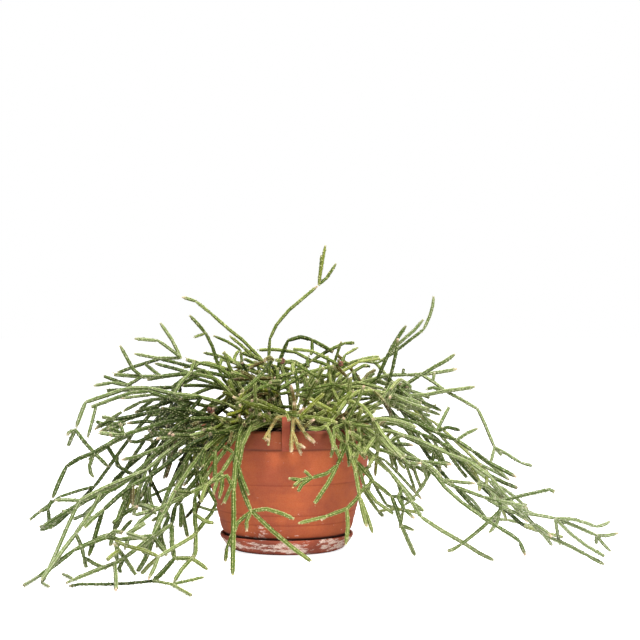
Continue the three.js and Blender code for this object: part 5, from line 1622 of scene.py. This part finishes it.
def stemTree(material):
    # ribbed stems along the polylines, with a small pad at each areole along every rib
    inputs = [("Geometry", "Geometry", None), ("Ribs", "Int", skin["ribs"]),
              ("Valley", "Float", skin["valley"]), ("Areole Spacing", "Float", skin["padSpacing"] * mm),
              ("Areole Size", "Float", skin["padSize"] * mm), ("Seed", "Int", skin["padSeed"])]
    tree, given, ends = newTree("ribbedStems", "GeometryNodeTree", inputs, [("Geometry", "Geometry")])
    line = addNode(tree, "GeometryNodeMeshToCurve", {0: given["Geometry"]}).outputs[0]
    tilt = {"Curve": line, "Tilt": readValue(tree, "turn")}
    line = addNode(tree, "GeometryNodeSetCurveTilt", tilt).outputs[0]
    points = {"Points": given["Ribs"], "Inner Radius": given["Valley"], "Outer Radius": 1.0}
    star = addNode(tree, "GeometryNodeCurveStar", points).outputs
    profile = storeValue(tree, star["Curve"], "rib", star["Outer Points"])
    thickness = readValue(tree, "thickness")
    sweep = {"Curve": line, "Profile Curve": profile, "Fill Caps": True, "Scale": thickness}
    body = addNode(tree, "GeometryNodeCurveToMesh", sweep).outputs[0]
    body = addNode(tree, "GeometryNodeSetShadeSmooth", {"Geometry": body, "Shade Smooth": True}).outputs[0]
    spacing = {"Curve": line, "Length": given["Areole Spacing"]}
    spots = addNode(tree, "GeometryNodeCurveToPoints", spacing, mode="LENGTH").outputs
    cone = {"Vertices": 5, "Radius Top": 0.0, "Radius Bottom": 0.6, "Depth": 0.5}
    pad = addNode(tree, "GeometryNodeMeshCone", cone, fill_type="NGON").outputs[0]
    rows = joined(tree, [padRow(tree, spots, pad, rib, given) for rib in range(skin["ribs"])])
    pads = addNode(tree, "GeometryNodeRealizeInstances", {0: rows}).outputs[0]
    pads = storeValue(tree, pads, "fleck", skin["padFleck"])
    endTree(tree, joined(tree, [pads, body]), material, ends)
    return tree


def plainName(name):
    return "".join("_" + c.lower() if c.isupper() else c for c in name)


def makeStems():
    tree = stemTree(stemMaterial())
    for spray in dict.fromkeys(name for name, _, _ in runs):
        piece = addObject("stems_" + plainName(spray), sprayMesh(spray))
        applyTree(piece, tree, {"Ribs": skin["ribs"], "Valley": skin["valley"]})
        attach(piece, "root")
        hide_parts("spray_" + plainName(spray))


makeStems()
print("stems made")


# Dried buds left on a few stems, where the front view shows them as [across, up].
buds = {
    "spots": [(-1, 159), (50, 158), (-72, 121), (-64, 116)], "size": 2.3, "nearest": 30, "rough": 0.45,
    "roughScale": 900, "dark": shown(66, 40, 30), "light": shown(134, 84, 64),
}


def budMaterial():
    material, tree, shader, where = newMaterial("driedBud")
    crinkle = noiseNode(tree, where, 700, 3)
    colour = mixColour(tree, stepUp(tree, crinkle, 0.4, 0.62), buds["dark"], buds["light"])
    tree.links.new(colour, shader.inputs["Base Color"])
    shader.inputs["Roughness"].default_value = 0.9
    addBump(tree, shader, crinkle, 0.6, 0.0006)
    return material


def makeBuds():
    shape = bmesh.new()
    for spot in buds["spots"]:
        near = min((p for p in bent if p[1] < buds["nearest"]), key=lambda p: math.dist(frontSpot(p), spot))
        bud = bmesh.ops.create_icosphere(shape, subdivisions=3, radius=buds["size"] * mm)["verts"]
        for vert in bud:
            wave = vert.co * buds["roughScale"] + Vector((*spot, 0))
            vert.co *= 1 + buds["rough"] * noise.noise(wave)
            vert.co += Vector((near[0], near[1] - buds["size"] / 2, near[2])) * mm
    finishPiece(shapePiece("dried_buds", shape), budMaterial(), [])


makeBuds()
print("buds made")


# Floor and light: a white sweep under soft light from above and from the right front.
stage = {
    "floorHalf": 6, "floor": (0.92, 0.92, 0.92, 1), "glow": (0.05, 0.85), "sky": (0.27, 1.0),
    "key": {"place": (0.5, -1.25, 1.7), "size": 0.85, "power": 55},
    "top": {"place": (-0.3, 0.2, 1.9), "size": 0.7, "power": 34}, "aim": (0, 0, 0.1),
}


def seenAmount(tree, unseen, seen):
    ray = tree.nodes.new("ShaderNodeLightPath").outputs["Is Camera Ray"]
    return addNode(tree, "ShaderNodeMapRange", {"Value": ray, "To Min": unseen, "To Max": seen}).outputs[0]


def makeFloor():
    mesh = bpy.data.meshes.new("floor")
    h = stage["floorHalf"]
    mesh.from_pydata([(-h, -h, 0), (h, -h, 0), (h, h, 0), (-h, h, 0)], [], [(0, 1, 2, 3)])
    floor = addObject("floor", mesh)
    material, tree, shader, _ = newMaterial("floorWhite")
    shader.inputs["Base Color"].default_value = stage["floor"]
    shader.inputs["Roughness"].default_value = 0.9
    shader.inputs["Emission Color"].default_value = (1, 1, 1, 1)
    # the floor and the backdrop show white, while less of them lights the plant
    tree.links.new(seenAmount(tree, *stage["glow"]), shader.inputs["Emission Strength"])
    mesh.materials.append(material)


def makeSky():
    world = bpy.data.worlds.new("studio")
    bpy.context.scene.world = world
    world.use_nodes = True
    sky = world.node_tree
    sky.nodes["Background"].inputs[0].default_value = (1, 1, 1, 1)
    sky.links.new(seenAmount(sky, *stage["sky"]), sky.nodes["Background"].inputs[1])


def addLight(name):
    lamp = addObject(name, bpy.data.lights.new(name, "AREA"))
    lamp.data.shape = "DISK"
    lamp.data.size = stage[name]["size"]
    lamp.data.energy = stage[name]["power"]
    lamp.location = stage[name]["place"]
    lamp.rotation_euler = (Vector(stage["aim"]) - lamp.location).to_track_quat("-Z", "Y").to_euler()


makeFloor()
makeSky()
addLight("key")
addLight("top")
bpy.context.scene.view_settings.view_transform = "Standard"
print("stage made")
